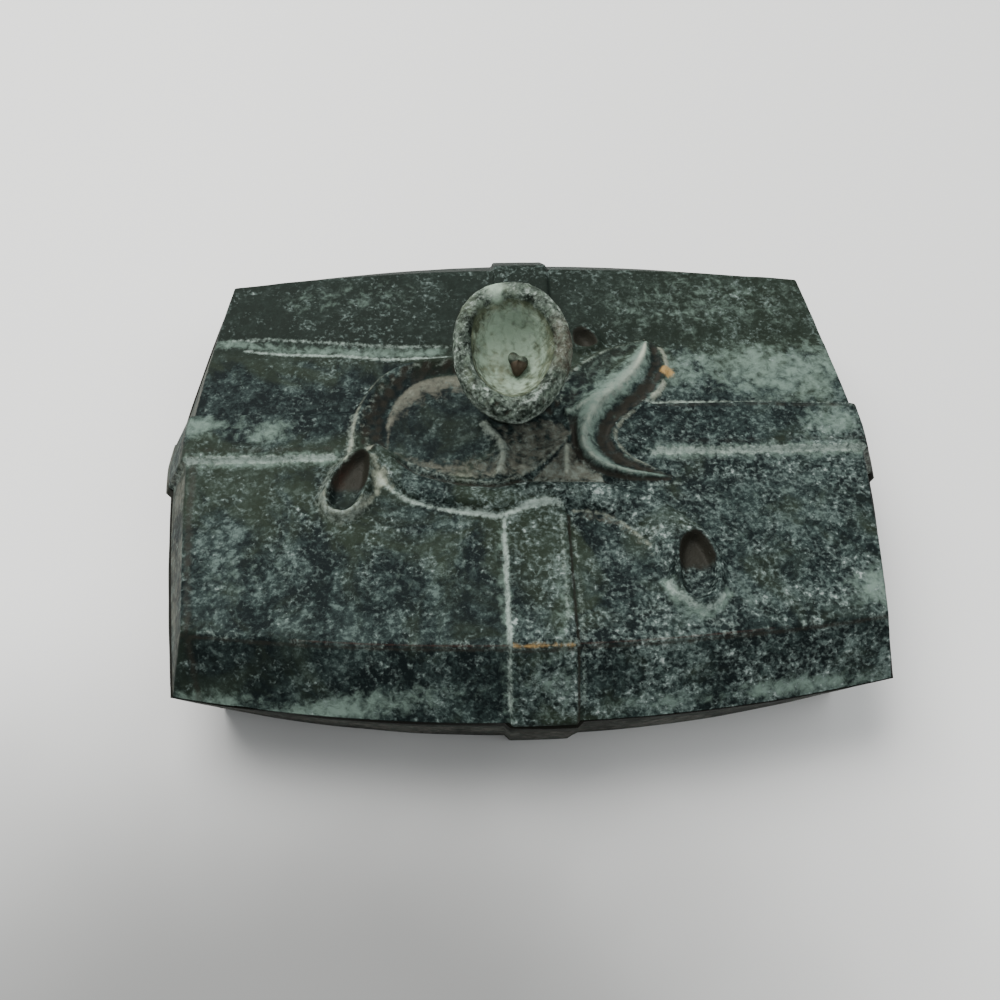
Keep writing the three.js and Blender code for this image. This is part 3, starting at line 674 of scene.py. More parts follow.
def paintFrontCrease(paint, x, y, place):
    # bare metal shows along the front crease, most of all on the band, and in one spot on the leaf's rim
    onCrease = bell(place["toCrease"] + 0.1, 0.24) * (y < 0)
    onBand = np.abs(x - bands["crossPlace"]) < bands["halfCross"] - 0.4
    strengthen(paint, rust=0.52 * onCrease * smooth(48, 30, np.abs(x)) * (1 - onBand),
               brown=0.60 * bell(place["toCrease"] + 0.6, 0.35) * (y < 0))
    paint["wear"] = np.maximum(0.52 * onCrease * onBand, patch(x, y, (26.0, 12.5), (1.25, 1.35)))


def paintGroundAndShade(paint, x, y, place):
    # how thick the mineral grains lie, where the patina under them is olive, and painted shade that darkens
    # the front bevel, the back slope and the back end of the cross band
    bevel = smooth(0.2, -0.6, place["toCrease"]) * (y < 0)
    fromBand = np.abs(x - bands["crossPlace"])
    speckle = (0.34 + 0.30 * (fromBand < bands["halfCross"]) * smooth(-15, -18, y)
               + 0.17 * patch(x, y, (22, -26), (17, 13)) + 0.18 * smooth(9, -8, y)
               + 0.16 * bell(y + 8.0, 5.0) * smooth(26, 34, x) + 0.20 * paint["grains"]
               + 0.26 * waves(x, y, 9, 26) + 0.10 * waves(x, y, 74, 9)
               + bevel * (0.26 * smooth(0, 25, x) - 0.10 * smooth(10, -40, x))
               + (1 - bevel) * (0.14 * smooth(0, 26, x) - 0.06 * smooth(36, 48, x)))
    speckle = speckle * (1 - 0.5 * smooth(0.4, 1, paint["inside"]))
    speckle = speckle * (1 - 0.6 * smooth(0.5, 0.9, paint["shade"]))
    # painted shade: the left of the front bevel, the back slope, the middle left of the top and the back end
    # of the cross band
    shade = 0.45 * bevel * smooth(0, -48, x) + smooth(14, 22, y) * (0.34 + 0.36 * smooth(50, 0, x))
    strengthen(paint, shade=shade)
    strengthen(paint, shade=0.12 * smooth(10, -25, x) * smooth(-14, -4, y) * (1 - bevel))
    strengthen(paint, shade=0.7 * smooth(32, 36, y) * (fromBand < bands["halfCross"] + 0.5))
    paint["shade"], paint["speckle"] = np.clip(paint["shade"], 0, 1), np.clip(speckle, 0, 1)
    paint["olive"] = 0.40 * smooth(8, 24, y)
    for strength, centre, size in ((0.20, (-40, -10), (22, 12)), (0.22, (-2, -24), (12, 12))):
        strengthen(paint, olive=strength * patch(x, y, centre, size))


def lidMasks(place, knot):
    x, y, near = place["x"], place["y"], place["near"]
    paint = {key: np.zeros_like(x) for key in knotLayers if key != "height"}
    for key in paint:
        paint[key][near] = readRaster(knot[key], x[near], y[near])
    paint["deposit"] = paint.pop("crust")
    outside = 1 - np.clip(paint["inside"] * 2, 0, 1)
    for centre, size, turn, strength in greenPatches:
        strengthen(paint, green=strength * patch(x, y, centre, size, turn) * outside)
    paintBesideBands(paint, x, y, place)
    paintEndWalls(paint, x, y, place)
    paintFrontCrease(paint, x, y, place)
    paintGroundAndShade(paint, x, y, place)
    del paint["inside"], paint["grains"]
    return paint


def borderLoop(rows, columns):
    index = np.arange(rows * columns).reshape(rows, columns)
    return np.concatenate([index[0], index[1:, -1], index[-1, -2::-1], index[-2:0:-1, 0]])


# the hollow under the lid: its wall, its top, and how far its sides lean in with the outside
lidInside = {"wall": 3.0, "top": 2.6, "endLean": 0.4, "sideLean": 0.8}


def makeLid():
    knot = buildKnot()
    points, place = makeLidSheet(knot)
    rows, columns = place["x"].shape
    loop = borderLoop(rows, columns)
    u, v = place["shareX"].ravel()[loop], place["shareY"].ravel()[loop]
    wall, ceiling = lidInside["wall"], lidTop - lidInside["top"]
    # rings from the rim up to the middle of the ceiling: inset, scale, height, lean
    rings = [(wall - 0.3, 1, seamLevel, 0), (wall, 1, seamLevel + 0.4, 0),
             (wall + 1.2, 1, (seamLevel + ceiling) / 2, 0.5), (wall + 1.6, 1, ceiling - 0.5, 0.95)]
    rings += [(wall + 2.2, scale, ceiling, 1) for scale in (1, 0.7, 0.35)]
    sheets = [points.reshape(-1, 3)]
    for inset, scale, z, lean in rings:
        halfLength = outline["halfLength"] - inset - outline["endRun"] * lean * lidInside["endLean"]
        halfDepth = outline["halfDepth"] - inset - outline["bevelRun"] * lean * lidInside["sideLean"]
        ringX, ringY = planPlace(u * scale, v * scale, halfLength, halfDepth, outline["topEndBow"],
                                 outline["topSideBow"])
        sheets.append(np.column_stack([ringX, ringY, np.full(len(loop), z)]))
    allPoints = np.vstack(sheets + [[[0, 0, ceiling]]])
    first, count = rows * columns, len(loop)
    following = np.roll(np.arange(count), -1)
    quads = [gridQuads(rows, columns),
             np.stack([loop, first + np.arange(count), first + following, loop[following]], axis=1),
             gridQuads(len(rings), count, first, wrap=True, flip=True)]
    faces = [list(q) for q in np.vstack(quads)]
    last = first + (len(rings) - 1) * count
    faces += [[last + k, len(allPoints) - 1, last + (k + 1) % count] for k in range(count)]
    under = np.zeros(len(allPoints) - first)
    masks = {key: np.concatenate([values.ravel(), under]) for key, values in lidMasks(place, knot).items()}
    return makeMesh("lidCasting", allPoints, faces, masks)


# the tray as rings round the box, from the middle of the underside to the middle of the floor
trayShape = {"wall": 3.0, "floor": 3.0, "footInset": 3.8, "footBow": 6.1, "rimProud": 0.6, "edge": 0.5,
             "bandHalf": 5.4, "bandEdge": 0.4, "alongSide": 110, "alongEnd": 84,
             "sunk": 0.75, "sunkPlace": (-22, -48), "sunkSize": (15, 5), "lipHeight": 1.2, "gapExtra": 1.6}


def ringAt(inset, sideBow, endExtra):
    # one closed outline, counterclockwise from the front left corner
    halfLength = outline["halfLength"] + endExtra - inset
    halfDepth = outline["halfDepth"] - inset
    t = np.linspace(-1, 1, trayShape["alongSide"], endpoint=False)
    s = np.linspace(-1, 1, trayShape["alongEnd"], endpoint=False)
    front = np.stack([t * halfLength, -depthAt(t, halfDepth, sideBow)], 1)
    right = np.stack([reachAt(s, halfLength, outline["endBow"]), s * halfDepth], 1)
    return np.vstack([front, right, -front, -right])


def trayLevels():
    # one row for each ring: inset, side bow, end extra, height, proud share of the bands
    names = ("wall", "floor", "footInset", "footBow", "rimProud", "edge")
    wall, floor, foot, footBow, rim, edge = (trayShape[key] for key in names)
    sideBow = outline["sideBow"]

    def wallLevel(share, extra=0.0, proud=1.0, lowest=0.0):
        bow = footBow + (sideBow - footBow) * share
        return [foot * (1 - share) + extra, bow, rim * share, max(trayTop * share, lowest), proud]

    levels = [[foot + 40 * (1 - scale), footBow * scale, 0, 0, 0] for scale in (0.25, 0.5, 0.75, 0.93)]
    levels += [[foot + edge * 1.6, footBow, 0, 0, 0], [foot + edge, footBow, 0, 0, 0.6],
               [foot + edge * 0.25, footBow, 0, edge * 0.3, 1]]
    levels += [wallLevel(share) for share in np.linspace(0.05, 0.95, 16)]
    levels += [[inset, sideBow, rim, trayTop - drop, proud] for inset, drop, proud in
               ((0.05, edge * 0.5, 1), (0.35, 0, 0.6), (0.8, 0, 0), (wall - 0.3, 0, 0), (wall, 0.4, 0))]
    levels += [wallLevel(share, wall, 0, floor + 0.4) for share in (0.75, 0.5, 0.28, 0.12)]
    levels.append([foot + wall + 0.6, footBow, 0, floor, 0])
    levels += [[foot + wall + extra, footBow * 0.8, 0, floor, 0] for extra in (12, 22, 31)]
    return levels


def makeTray():
    half, edge, lipHeight = (trayShape[key] for key in ("bandHalf", "bandEdge", "lipHeight"))
    rings = []
    for inset, bow, extra, level, proud in trayLevels():
        ring = ringAt(inset, bow, extra)
        x, y = ring.T
        side = np.roll(ring, -1, axis=0) - np.roll(ring, 1, axis=0)
        normal = np.stack([side[:, 1], -side[:, 0]], 1)
        normal /= np.linalg.norm(normal, axis=1, keepdims=True)
        onEnd = smooth(half + edge, half - edge, np.abs(y)) * (np.abs(x) > 40)
        onSide = smooth(half + edge, half - edge, np.abs(x - bands["crossPlace"])) * (np.abs(y) > 30)
        push = bands["proud"] * np.maximum(onEnd, onSide) * proud
        if level > trayTop - lipHeight and inset < 2:  # sunk beside the front band, seen as a black gap
            push = push - trayShape["sunk"] * patch(x, y, trayShape["sunkPlace"], trayShape["sunkSize"])
        if 0 < level < trayTop:
            push = push + 0.10 * waves(x + level * 2, y, 12, 14) - 0.1
        rings.append(np.column_stack([ring + normal * push[:, None], np.full(len(ring), level)]))
    count = len(rings[0])
    first, last = len(rings) * count, (len(rings) - 1) * count
    points = np.vstack(rings + [[[0, 0, 0], [0, 0, trayShape["floor"]]]])
    faces = [list(q) for q in gridQuads(len(rings), count, wrap=True)]
    for k in range(count):
        n = (k + 1) % count
        faces += [[first, n, k], [first + 1, last + k, last + n]]
    x, y, z = points.T
    onWall = smooth(0.5, 2.0, z) * smooth(trayTop + 0.5, trayTop - 0.5, z)
    tone = 0.5 + 0.5 * waves(x, y + z, 31, 24)
    leftBand = smooth(-61.2, -61.6, x) * (np.abs(y) < 6)
    # how far down the wall the joint's shadow reaches, furthest where the rim has sunk
    gap = trayTop - lipHeight - trayShape["gapExtra"] * bell(x + 20, 17) * (y < 0)
    masks = {"green": 0.20 + 0.3 * tone * onWall + 0.3 * leftBand, "speckle": np.full(len(z), 0.35),
             "brown": 1.1 * smooth(gap, gap + 0.4, z) * (1 - leftBand),
             "dust": np.maximum(0.75 * tone * smooth(13.6, 9.0, z) * onWall, 0.7 * leftBand),
             "shade": 0.9 * smooth(gap - 0.2, gap + 0.3, z)}
    return makeMesh("trayCasting", points, faces, masks)


# the knob: an oval cup with a thick uneven lip, leaning to the front; the same sizes as the solid
knob = {
    "place": (-2.35, 8.3), "lean": 16.0, "height": 20.6, "oval": 1.27, "neck": 4.9, "flare": 1.4, "lip": 9.4,
    "thickness": 3.0, "round": 1.2, "depth": 8.4, "around": 200, "pipRadius": 1.62, "pipPlace": (1.1, -0.35),
}


def standUp(x, y, z):
    # from the knob's own axis to its leaning place on the lid
    lean = math.radians(knob["lean"])
    y = y * knob["oval"]
    back, up = y * math.cos(lean) - z * math.sin(lean), y * math.sin(lean) + z * math.cos(lean)
    return np.stack([x + knob["place"][0], back + knob["place"][1], up + lidTop], -1).reshape(-1, 3)


def roundFaces(rows, columns, flip=False):
    # rings of quads closed by a many-sided face at both ends
    first, last = list(range(columns)), [(rows - 1) * columns + j for j in range(columns)]
    caps = [first, last[::-1]] if flip else [first[::-1], last]
    return [list(q) for q in gridQuads(rows, columns, wrap=True, flip=flip)] + caps


def makeKnob():
    names = ("height", "neck", "lip", "round", "flare", "depth")
    tall, neck, lip, soft, flare, depth = (knob[key] for key in names)
    bowl, floor = lip - knob["thickness"], tall - depth
    # from the foot up the outside, over the lip and down into the bowl: radius and height
    profile = curvePoints([
        (neck + flare + 0.9, -2.4), (neck + flare * 0.7, 0.4), (neck + flare * 0.3, tall * 0.08),
        (neck, tall * 0.3), (neck + flare * 0.85, tall * 0.5), (lip - soft, tall * 0.71), (lip, tall * 0.83),
        (lip - soft * 0.2, tall * 0.93), (lip - soft, tall * 0.975), (bowl + soft * 0.7, tall * 0.972),
        (bowl + 0.1, tall * 0.92), (bowl * 0.90, tall * 0.84), (bowl * 0.72, floor + depth * 0.28),
        (bowl * 0.42, floor + depth * 0.08), (0.02, floor)], 9)
    theta = np.linspace(0, math.tau, knob["around"], endpoint=False)
    angle, along = np.meshgrid(theta, np.linspace(0, 1, len(profile)))
    radius, height = profile[:, :1] * np.ones_like(angle), profile[:, 1:2] * np.ones_like(angle)
    onLip = smooth(0.34, 0.46, along) * smooth(0.80, 0.66, along)
    x, y = radius * np.cos(angle), radius * np.sin(angle)
    grain = waves(x + height * 0.7, y + height * 0.5, 22, 1.7) + 0.8 * waves(x - height, y, 24, 0.9)
    lumps = 0.16 * np.sin(3 * angle + 0.6) + 0.10 * np.sin(5 * angle + 2.1)
    slow = 0.10 * waves(x, y + height, 25, 4) * smooth(0, 2, radius)
    radius = radius + (lumps + 0.09 * grain - 0.10) * onLip + slow
    height = height + (0.18 * np.sin(2 * angle + 1.0) + 0.07 * grain - 0.1) * onLip
    points = standUp(radius * np.cos(angle), radius * np.sin(angle), height)
    points[:, 2] = np.maximum(points[:, 2], lidTop - 0.6)

    inBowl, middle = smooth(0.68, 0.74, along), smooth(0.82, 0.93, along)
    frontSide, leftSide = np.clip(-np.sin(angle), 0, 1), np.clip(-np.cos(angle), 0, 1)
    outerEdge = bell(along - 0.455, 0.022) * smooth(0.5, 0.95, frontSide)
    innerEdge = bell(along - 0.60, 0.022) * smooth(0.3, 0.9, frontSide) * (x > 1)
    # the bowl's green, painted lighter on its back wall, which the light behind the knob leaves in shade
    bowlGreenAndLight = (0.54 + 0.34 * np.clip(np.sin(angle), 0, 1) + 0.3 * waves(x, y, 27, 2.0)
                 + 0.3 * waves(x, y, 29, 0.9)) * smooth(0.68, 0.86, along)
    underLip = bell(along - 0.78, 0.045) * (0.2 * frontSide + 0.5 * leftSide)
    bowlDust = 0.4 * middle * (leftSide + 0.6 * waves(x, y, 31, 2.0))
    lipCrust = 0.24 * onLip * smooth(0.1, 0.7, grain)
    masks = {
        # a painted highlight on the lip at the back left, in mint green
        "green": np.maximum((0.20 + 0.7 * bell(angle - 1.88, 0.16)) * onLip, bowlGreenAndLight),
        "deposit": np.maximum(lipCrust, 0.42 * np.maximum(outerEdge, innerEdge)),
        "brown": np.maximum(0.6 * smooth(0.30, 0.05, along),
                            0.50 * smooth(0, -0.5, grain) * onLip * (0.4 + 0.6 * frontSide)),
        "dust": (0.42 + 0.3 * waves(x, y, 30, 1.2)) * inBowl + bowlDust,
        "rust": 0.50 * onLip * smooth(0.7, 1.0, np.cos(angle)),
        "cream": 0.26 * middle * smooth(0.2, 0.6, waves(x, y, 28, 3) + 0.4 * leftSide),
        "speckle": 0.66 * onLip * (1 - inBowl) + 0.22 + 0.36 * inBowl * (1 - 0.5 * middle),
        "olive": 0.3 * inBowl,
        # painted shade on the foot, on the front of the bowl and under the lip
        "shade": np.maximum(0.5 * smooth(0.34, 0.15, along), inBowl * (0.36 * frontSide + underLip)),
    }
    return makeMesh("knobCup", points, roundFaces(*angle.shape), masks)


def makePip():
    phi, theta = np.linspace(0.01, math.pi - 0.01, 26), np.linspace(0, math.tau, 36, endpoint=False)
    t, p = np.meshgrid(theta, phi)
    r = knob["pipRadius"] * (1 + 0.14 * np.sin(3 * t + 1) * np.sin(p) + 0.10 * np.sin(2 * p + 2 * t) - 0.1)
    x = r * np.sin(p) * np.cos(t) + knob["pipPlace"][0]
    y = r * np.sin(p) * np.sin(t) + knob["pipPlace"][1]
    z = r * np.cos(p) * 0.9 + knob["height"] - knob["depth"] + knob["pipRadius"] * 0.85
    below = smooth(0.3, -0.6, np.sin(t))
    masks = {"green": 0.32 * (1 - below), "rust": 0.75 * below}
    masks.update({key: np.full(t.shape, value) for key, value in
                  (("brown", 0.42), ("dust", 0.3), ("speckle", 0.35), ("shade", 0.4))})
    return makeMesh("knobPip", standUp(x, y, z), roundFaces(*t.shape, flip=True), masks)


# shader nodes: a value is either a number or colour, or the output of another node

def feed(tree, socket, value):
    if isinstance(value, (int, float, tuple)):
        socket.default_value = value
    else:
        tree.links.new(value, socket)


def mathNode(tree, operation, a, b=None, clamp=False):
    node = tree.nodes.new("ShaderNodeMath")
    node.operation = operation
    node.use_clamp = clamp
    feed(tree, node.inputs[0], a)
    if b is not None:
        feed(tree, node.inputs[1], b)
    return node.outputs[0]


def weighted(tree, *parts):
    # the sum of some values, each times its weight
    total = None
    for value, weight in parts:
        part = mathNode(tree, "MULTIPLY", value, weight)
        total = part if total is None else mathNode(tree, "ADD", total, part)
    return total


def mixColour(tree, factor, a, b):
    node = tree.nodes.new("ShaderNodeMix")
    node.data_type = "RGBA"
    for place, value in ((0, factor), (6, a), (7, b)):
        feed(tree, node.inputs[place], value)
    return node.outputs[2]


def noiseNode(tree, vector, scale, detail=4.0, rough=0.55, distortion=0.0):
    node = tree.nodes.new("ShaderNodeTexNoise")
    for label, value in (("Vector", vector), ("Scale", scale), ("Detail", detail), ("Roughness", rough),
                         ("Distortion", distortion)):
        feed(tree, node.inputs[label], value)
    return node.outputs["Fac"]


def rampNode(tree, value, low, high):
    node = tree.nodes.new("ShaderNodeMapRange")
    node.interpolation_type = "SMOOTHSTEP"
    node.clamp = True
    for label, source in (("Value", value), ("From Min", low), ("From Max", high)):
        feed(tree, node.inputs[label], source)
    return node.outputs["Result"]


def paintInput(tree, name):
    node = tree.nodes.new("ShaderNodeAttribute")
    node.attribute_name = name
    return node.outputs["Fac"]


# shader groups, each built once and placed in every finish with its own values
socketTypes = {"Vector": "NodeSocketVector", "Colour": "NodeSocketColor", "Float": "NodeSocketFloat"}
groups = {}
# the noises that the groups are made of: waves for each metre, detail, roughness, distortion
noises = {
    "cloud": (170.0, 4.0, 0.55, 0.6), "spots": (700.0, 2.0, 0.5, 0.4), "dots": (2900.0, 2.0, 0.5, 0.2),
    "broad": (90.0, 5.0, 0.6, 0.6), "middle": (420.0, 4.0, 0.65, 0.5), "fine": (1300.0, 3.0, 0.65, 0.4),
    "warm": (75.0, 4.0, 0.6, 0.8), "lumps": (240.0, 5.0, 0.6), "pores": (1100.0, 4.0, 0.7),
}


def newGroup(name, inputs, outputs):
    group = bpy.data.node_groups.new(name, "ShaderNodeTree")
    group.interface.new_socket("Vector", in_out="INPUT", socket_type=socketTypes["Vector"])
    for label, value in inputs.items():
        kind = "Colour" if isinstance(value, tuple) else "Float"
        socket = group.interface.new_socket(label, in_out="INPUT", socket_type=socketTypes[kind])
        socket.default_value = value
    for label in outputs:
        kind = "Colour" if label == "Color" else "Float"
        group.interface.new_socket(label, in_out="OUTPUT", socket_type=socketTypes[kind])
    groups[name] = group
    return group, group.nodes.new("NodeGroupInput").outputs, group.nodes.new("NodeGroupOutput").inputs


def buildSpeckleGroup():
    # chalky grains that gather into clouds; Amount is how much of the surface they cover
    group, given, out = newGroup("mineralSpeckle", {"Amount": 0.5, "Grain": 1500.0}, ("Mask", "Bright"))
    vector = given["Vector"]
    grain = noiseNode(group, vector, given["Grain"], 2.0, 0.5, 0.4)
    cloud = noiseNode(group, vector, *noises["cloud"])
    spots = noiseNode(group, vector, *noises["spots"])
    total = weighted(group, (grain, 0.42), (cloud, 0.26), (spots, 0.32))
    level = mathNode(group, "SUBTRACT", 0.60, mathNode(group, "MULTIPLY", given["Amount"], 0.16))
    start = mathNode(group, "SUBTRACT", level, 0.02)
    ends = [mathNode(group, "ADD", level, step) for step in (0.18, 0.10, 0.20)]
    mask, bright = rampNode(group, total, start, ends[0]), rampNode(group, total, ends[1], ends[2])
    dots = rampNode(group, noiseNode(group, vector, *noises["dots"]), 0.60, 0.72)
    feed(group, out["Mask"], mask)
    feed(group, out["Bright"], mathNode(group, "MAXIMUM", bright, mathNode(group, "MULTIPLY", dots, mask)))


def buildPatchGroup():
    # turns a soft painted mask into a patch with a ragged, eaten edge
    group, given, out = newGroup("raggedPatch", {"Paint": 0.0, "Size": 260.0, "Bite": 0.6}, ("Mask",))
    ragged = noiseNode(group, given["Vector"], given["Size"], 4.0, 0.62, 0.4)
    bitten = mathNode(group, "MULTIPLY", mathNode(group, "SUBTRACT", ragged, 0.5), given["Bite"])
    total = mathNode(group, "ADD", given["Paint"], mathNode(group, "MULTIPLY", bitten, 2.0))
    whole, painted = rampNode(group, total, 0.15, 0.85), rampNode(group, given["Paint"], 0.02, 0.2)
    feed(group, out["Mask"], mathNode(group, "MULTIPLY", whole, painted))


def buildPatinaGroup():
    # the dark ground under everything: three tones of old metal clouded into each other
    group, given, out = newGroup(
        "patinaGround", {"Dark": (0.01, 0.014, 0.014, 1), "Middle": (0.03, 0.04, 0.04, 1),
                         "Light": (0.08, 0.11, 0.1, 1), "Warm": (0.03, 0.03, 0.02, 1), "Olive": 0.0},
        ("Color", "Height"))
    vector = given["Vector"]
    broad = rampNode(group, noiseNode(group, vector, *noises["broad"]), 0.36, 0.64)
    middle = rampNode(group, noiseNode(group, vector, *noises["middle"]), 0.38, 0.66)
    fine = rampNode(group, noiseNode(group, vector, *noises["fine"]), 0.40, 0.70)
    share = weighted(group, (broad, 0.35), (middle, 0.4), (fine, 0.35))
    colour = mixColour(group, rampNode(group, share, 0.20, 0.68), given["Dark"], given["Middle"])
    colour = mixColour(group, rampNode(group, share, 0.58, 0.98), colour, given["Light"])
    warm = mathNode(group, "ADD", noiseNode(group, vector, *noises["warm"]), given["Olive"])
    warm = mathNode(group, "MULTIPLY", rampNode(group, warm, 0.50, 0.70), 0.6)
    feed(group, out["Color"], mixColour(group, warm, colour, given["Warm"]))
    feed(group, out["Height"], weighted(group, (noiseNode(group, vector, *noises["lumps"]), 0.6),
                                        (noiseNode(group, vector, *noises["pores"]), 0.4)))


def placeGroup(tree, name, **values):
    node = tree.nodes.new("ShaderNodeGroup")
    node.node_tree = groups[name]
    for label, value in values.items():
        feed(tree, node.inputs[label], value)
    return node.outputs


# a finish each for the lid, the tray and the knob; colours are linear, bump is in metres
finishes = {
    "lid": {
        "dark": (0.0038, 0.0070, 0.0072), "middle": (0.0190, 0.0295, 0.0275), "light": (0.074, 0.102, 0.092),
        "warm": (0.0220, 0.0310, 0.0180), "speckle": (0.134, 0.176, 0.160), "bright": (0.37, 0.425, 0.40),
        "green": (0.170, 0.235, 0.196), "deposit": (0.33, 0.405, 0.358), "brown": (0.0185, 0.0175, 0.0132),
        "dust": (0.118, 0.118, 0.092), "cream": (0.370, 0.400, 0.315), "wear": (0.34, 0.215, 0.080),
        "rub": (0.195, 0.230, 0.195), "rust": (0.055, 0.024, 0.017),
        "metallic": 0.12, "specular": 0.07, "bump": 0.00030,
    },
    "tray": {
        "dark": (0.007, 0.008, 0.0065), "middle": (0.032, 0.034, 0.029), "light": (0.080, 0.084, 0.072),
        "warm": (0.034, 0.031, 0.024), "speckle": (0.12, 0.13, 0.115), "bright": (0.20, 0.21, 0.19),
        "green": (0.075, 0.092, 0.080), "deposit": (0.27, 0.31, 0.29), "brown": (0.006, 0.006, 0.004),
        "dust": (0.15, 0.14, 0.12), "cream": (0.3, 0.3, 0.24), "wear": (0.15, 0.105, 0.050),
        "rub": (0.20, 0.235, 0.205), "rust": (0.055, 0.030, 0.020),
        "metallic": 0.12, "specular": 0.07, "bump": 0.00015,
    },
    "knob": {
        "dark": (0.008, 0.012, 0.009), "middle": (0.040, 0.054, 0.042), "light": (0.120, 0.150, 0.118),
        "warm": (0.080, 0.095, 0.056), "speckle": (0.18, 0.22, 0.185), "bright": (0.42, 0.48, 0.43),
        "green": (0.340, 0.440, 0.340), "deposit": (0.42, 0.48, 0.43), "brown": (0.020, 0.018, 0.012),
        "dust": (0.185, 0.210, 0.140), "cream": (0.34, 0.37, 0.27), "wear": (0.15, 0.085, 0.040),
        "rub": (0.20, 0.235, 0.205), "rust": (0.075, 0.052, 0.036),
        "metallic": 0.0, "specular": 0.07, "bump": 0.00030,
    },
}
# painted masks: size of the noise that eats their edges, and how deep it bites
patchEdges = {"green": (620.0, 0.75), "deposit": (1300.0, 0.62), "brown": (650.0, 0.45),
              "dust": (700.0, 0.75), "rub": (1300.0, 0.7), "cream": (900.0, 0.40), "rust": (700.0, 0.35),
              "wear": (900.0, 0.6)}
# how strongly each colour covers what lies under it, from the lowest up
covers = {"dust": 0.75, "green": 0.75, "speckle": 0.75, "bright": 0.6, "brown": 0.92, "rust": 0.75,
          "rub": 0.75, "cream": 0.80, "deposit": 0.85, "wear": 0.85}
# what the patina, the chalk and the brown hollows do to the roughness and the bump
surface = {"rough": 0.55, "patinaRough": 0.22, "chalkRough": 0.25, "brownSmooth": 0.16, "chalkHeight": 0.45,
           "bumpStrength": 0.9, "shade": 0.8}


def makeFinish(name):
    values = finishes[name]
    tones = {key: (*value, 1) for key, value in values.items() if isinstance(value, tuple)}
    material = bpy.data.materials.new(name + "Bronze")
    material.use_nodes = True
    tree = material.node_tree
    shader = tree.nodes["Principled BSDF"]
    shader.inputs["Metallic"].default_value = values["metallic"]
    shader.inputs["Specular IOR Level"].default_value = values["specular"]
    vector = tree.nodes.new("ShaderNodeTexCoord").outputs["Object"]
    ground = placeGroup(tree, "patinaGround", Vector=vector, Dark=tones["dark"], Middle=tones["middle"],
                        Light=tones["light"], Warm=tones["warm"], Olive=paintInput(tree, "olive"))
    grains = placeGroup(tree, "mineralSpeckle", Vector=vector, Amount=paintInput(tree, "speckle"))
    masks = {"speckle": grains["Mask"], "bright": grains["Bright"]}
    for key, (size, bite) in patchEdges.items():
        masks[key] = placeGroup(tree, "raggedPatch", Vector=vector, Paint=paintInput(tree, key), Size=size,
                                Bite=bite)["Mask"]
    shaded = mathNode(tree, "MULTIPLY", paintInput(tree, "shade"), surface["shade"])
    colour = mixColour(tree, shaded, ground["Color"], tones["dark"])
    for key, strength in covers.items():
        colour = mixColour(tree, mathNode(tree, "MULTIPLY", masks[key], strength), colour, tones[key])
    feed(tree, shader.inputs["Base Color"], colour)

    chalk = mathNode(tree, "MAXIMUM", masks["deposit"], masks["speckle"])
    chalk = mathNode(tree, "MAXIMUM", masks["green"], chalk)
    patinaRough, chalkRough, brownSmooth, chalkHeight = (
        mathNode(tree, "MULTIPLY", mask, surface[key]) for mask, key in
        ((ground["Height"], "patinaRough"), (chalk, "chalkRough"), (masks["brown"], "brownSmooth"),
         (chalk, "chalkHeight")))
    roughness = mathNode(tree, "ADD", mathNode(tree, "ADD", surface["rough"], patinaRough), chalkRough)
    feed(tree, shader.inputs["Roughness"], mathNode(tree, "SUBTRACT", roughness, brownSmooth, clamp=True))
    bump = tree.nodes.new("ShaderNodeBump")
    bump.inputs["Distance"].default_value = values["bump"]
    bump.inputs["Strength"].default_value = surface["bumpStrength"]
    feed(tree, bump.inputs["Height"], mathNode(tree, "ADD", ground["Height"], chalkHeight))
    feed(tree, shader.inputs["Normal"], bump.outputs["Normal"])
    return material


def dress(piece, material, body, slotName, *nodes):
    piece.data.materials.clear()
    piece.data.materials.append(material)
    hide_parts(*nodes)
    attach(piece, body)


# pale floor with a painted soft shadow at the front left, and soft studio light;
# lengths in metres, but half the floor's width in millimetres
stageLook = {
    "floorHalf": 3000, "pale": (0.80, 0.80, 0.785, 1), "shaded": (0.195, 0.196, 0.192, 1), "roughness": 0.5,
    "shadeCentre": (-0.038, -0.088), "shadeReach": (0.075, 0.042), "shadeEdge": (0.5, 2.15), "wander": 0.5,
    "shadeNoise": (14.0, 3.0),
    "sky": (0.95, 0.98, 1.0, 1), "skyStrength": 0.62,
    "lights": {  # place, size, power, tint
        "mainLight": ((-0.34, 0.46, 0.86), 0.80, 19.0, (1.0, 0.99, 0.97)),
        "fillLight": ((0.55, -0.10, 0.70), 0.60, 2.5, (0.97, 0.99, 1.0)),
    },
}


def makeFloorMaterial():
    material = bpy.data.materials.new("paleFloor")
    material.use_nodes = True
    tree = material.node_tree
    shader = tree.nodes["Principled BSDF"]
    shader.inputs["Roughness"].default_value = stageLook["roughness"]
    vector = tree.nodes.new("ShaderNodeTexCoord").outputs["Object"]
    split = tree.nodes.new("ShaderNodeSeparateXYZ")
    feed(tree, split.inputs["Vector"], vector)
    squares = []
    for axis, centre, reach in zip("XY", stageLook["shadeCentre"], stageLook["shadeReach"]):
        away = mathNode(tree, "MULTIPLY", mathNode(tree, "ADD", split.outputs[axis], -centre), 1 / reach)
        squares.append(mathNode(tree, "POWER", mathNode(tree, "ABSOLUTE", away), 2.0))
    distance = mathNode(tree, "SQRT", mathNode(tree, "ADD", *squares))
    wander = noiseNode(tree, vector, *stageLook["shadeNoise"])
    wander = mathNode(tree, "MULTIPLY", wander, stageLook["wander"])
    light = rampNode(tree, mathNode(tree, "ADD", distance, wander), *stageLook["shadeEdge"])
    feed(tree, shader.inputs["Base Color"], mixColour(tree, light, stageLook["shaded"], stageLook["pale"]))
    return material


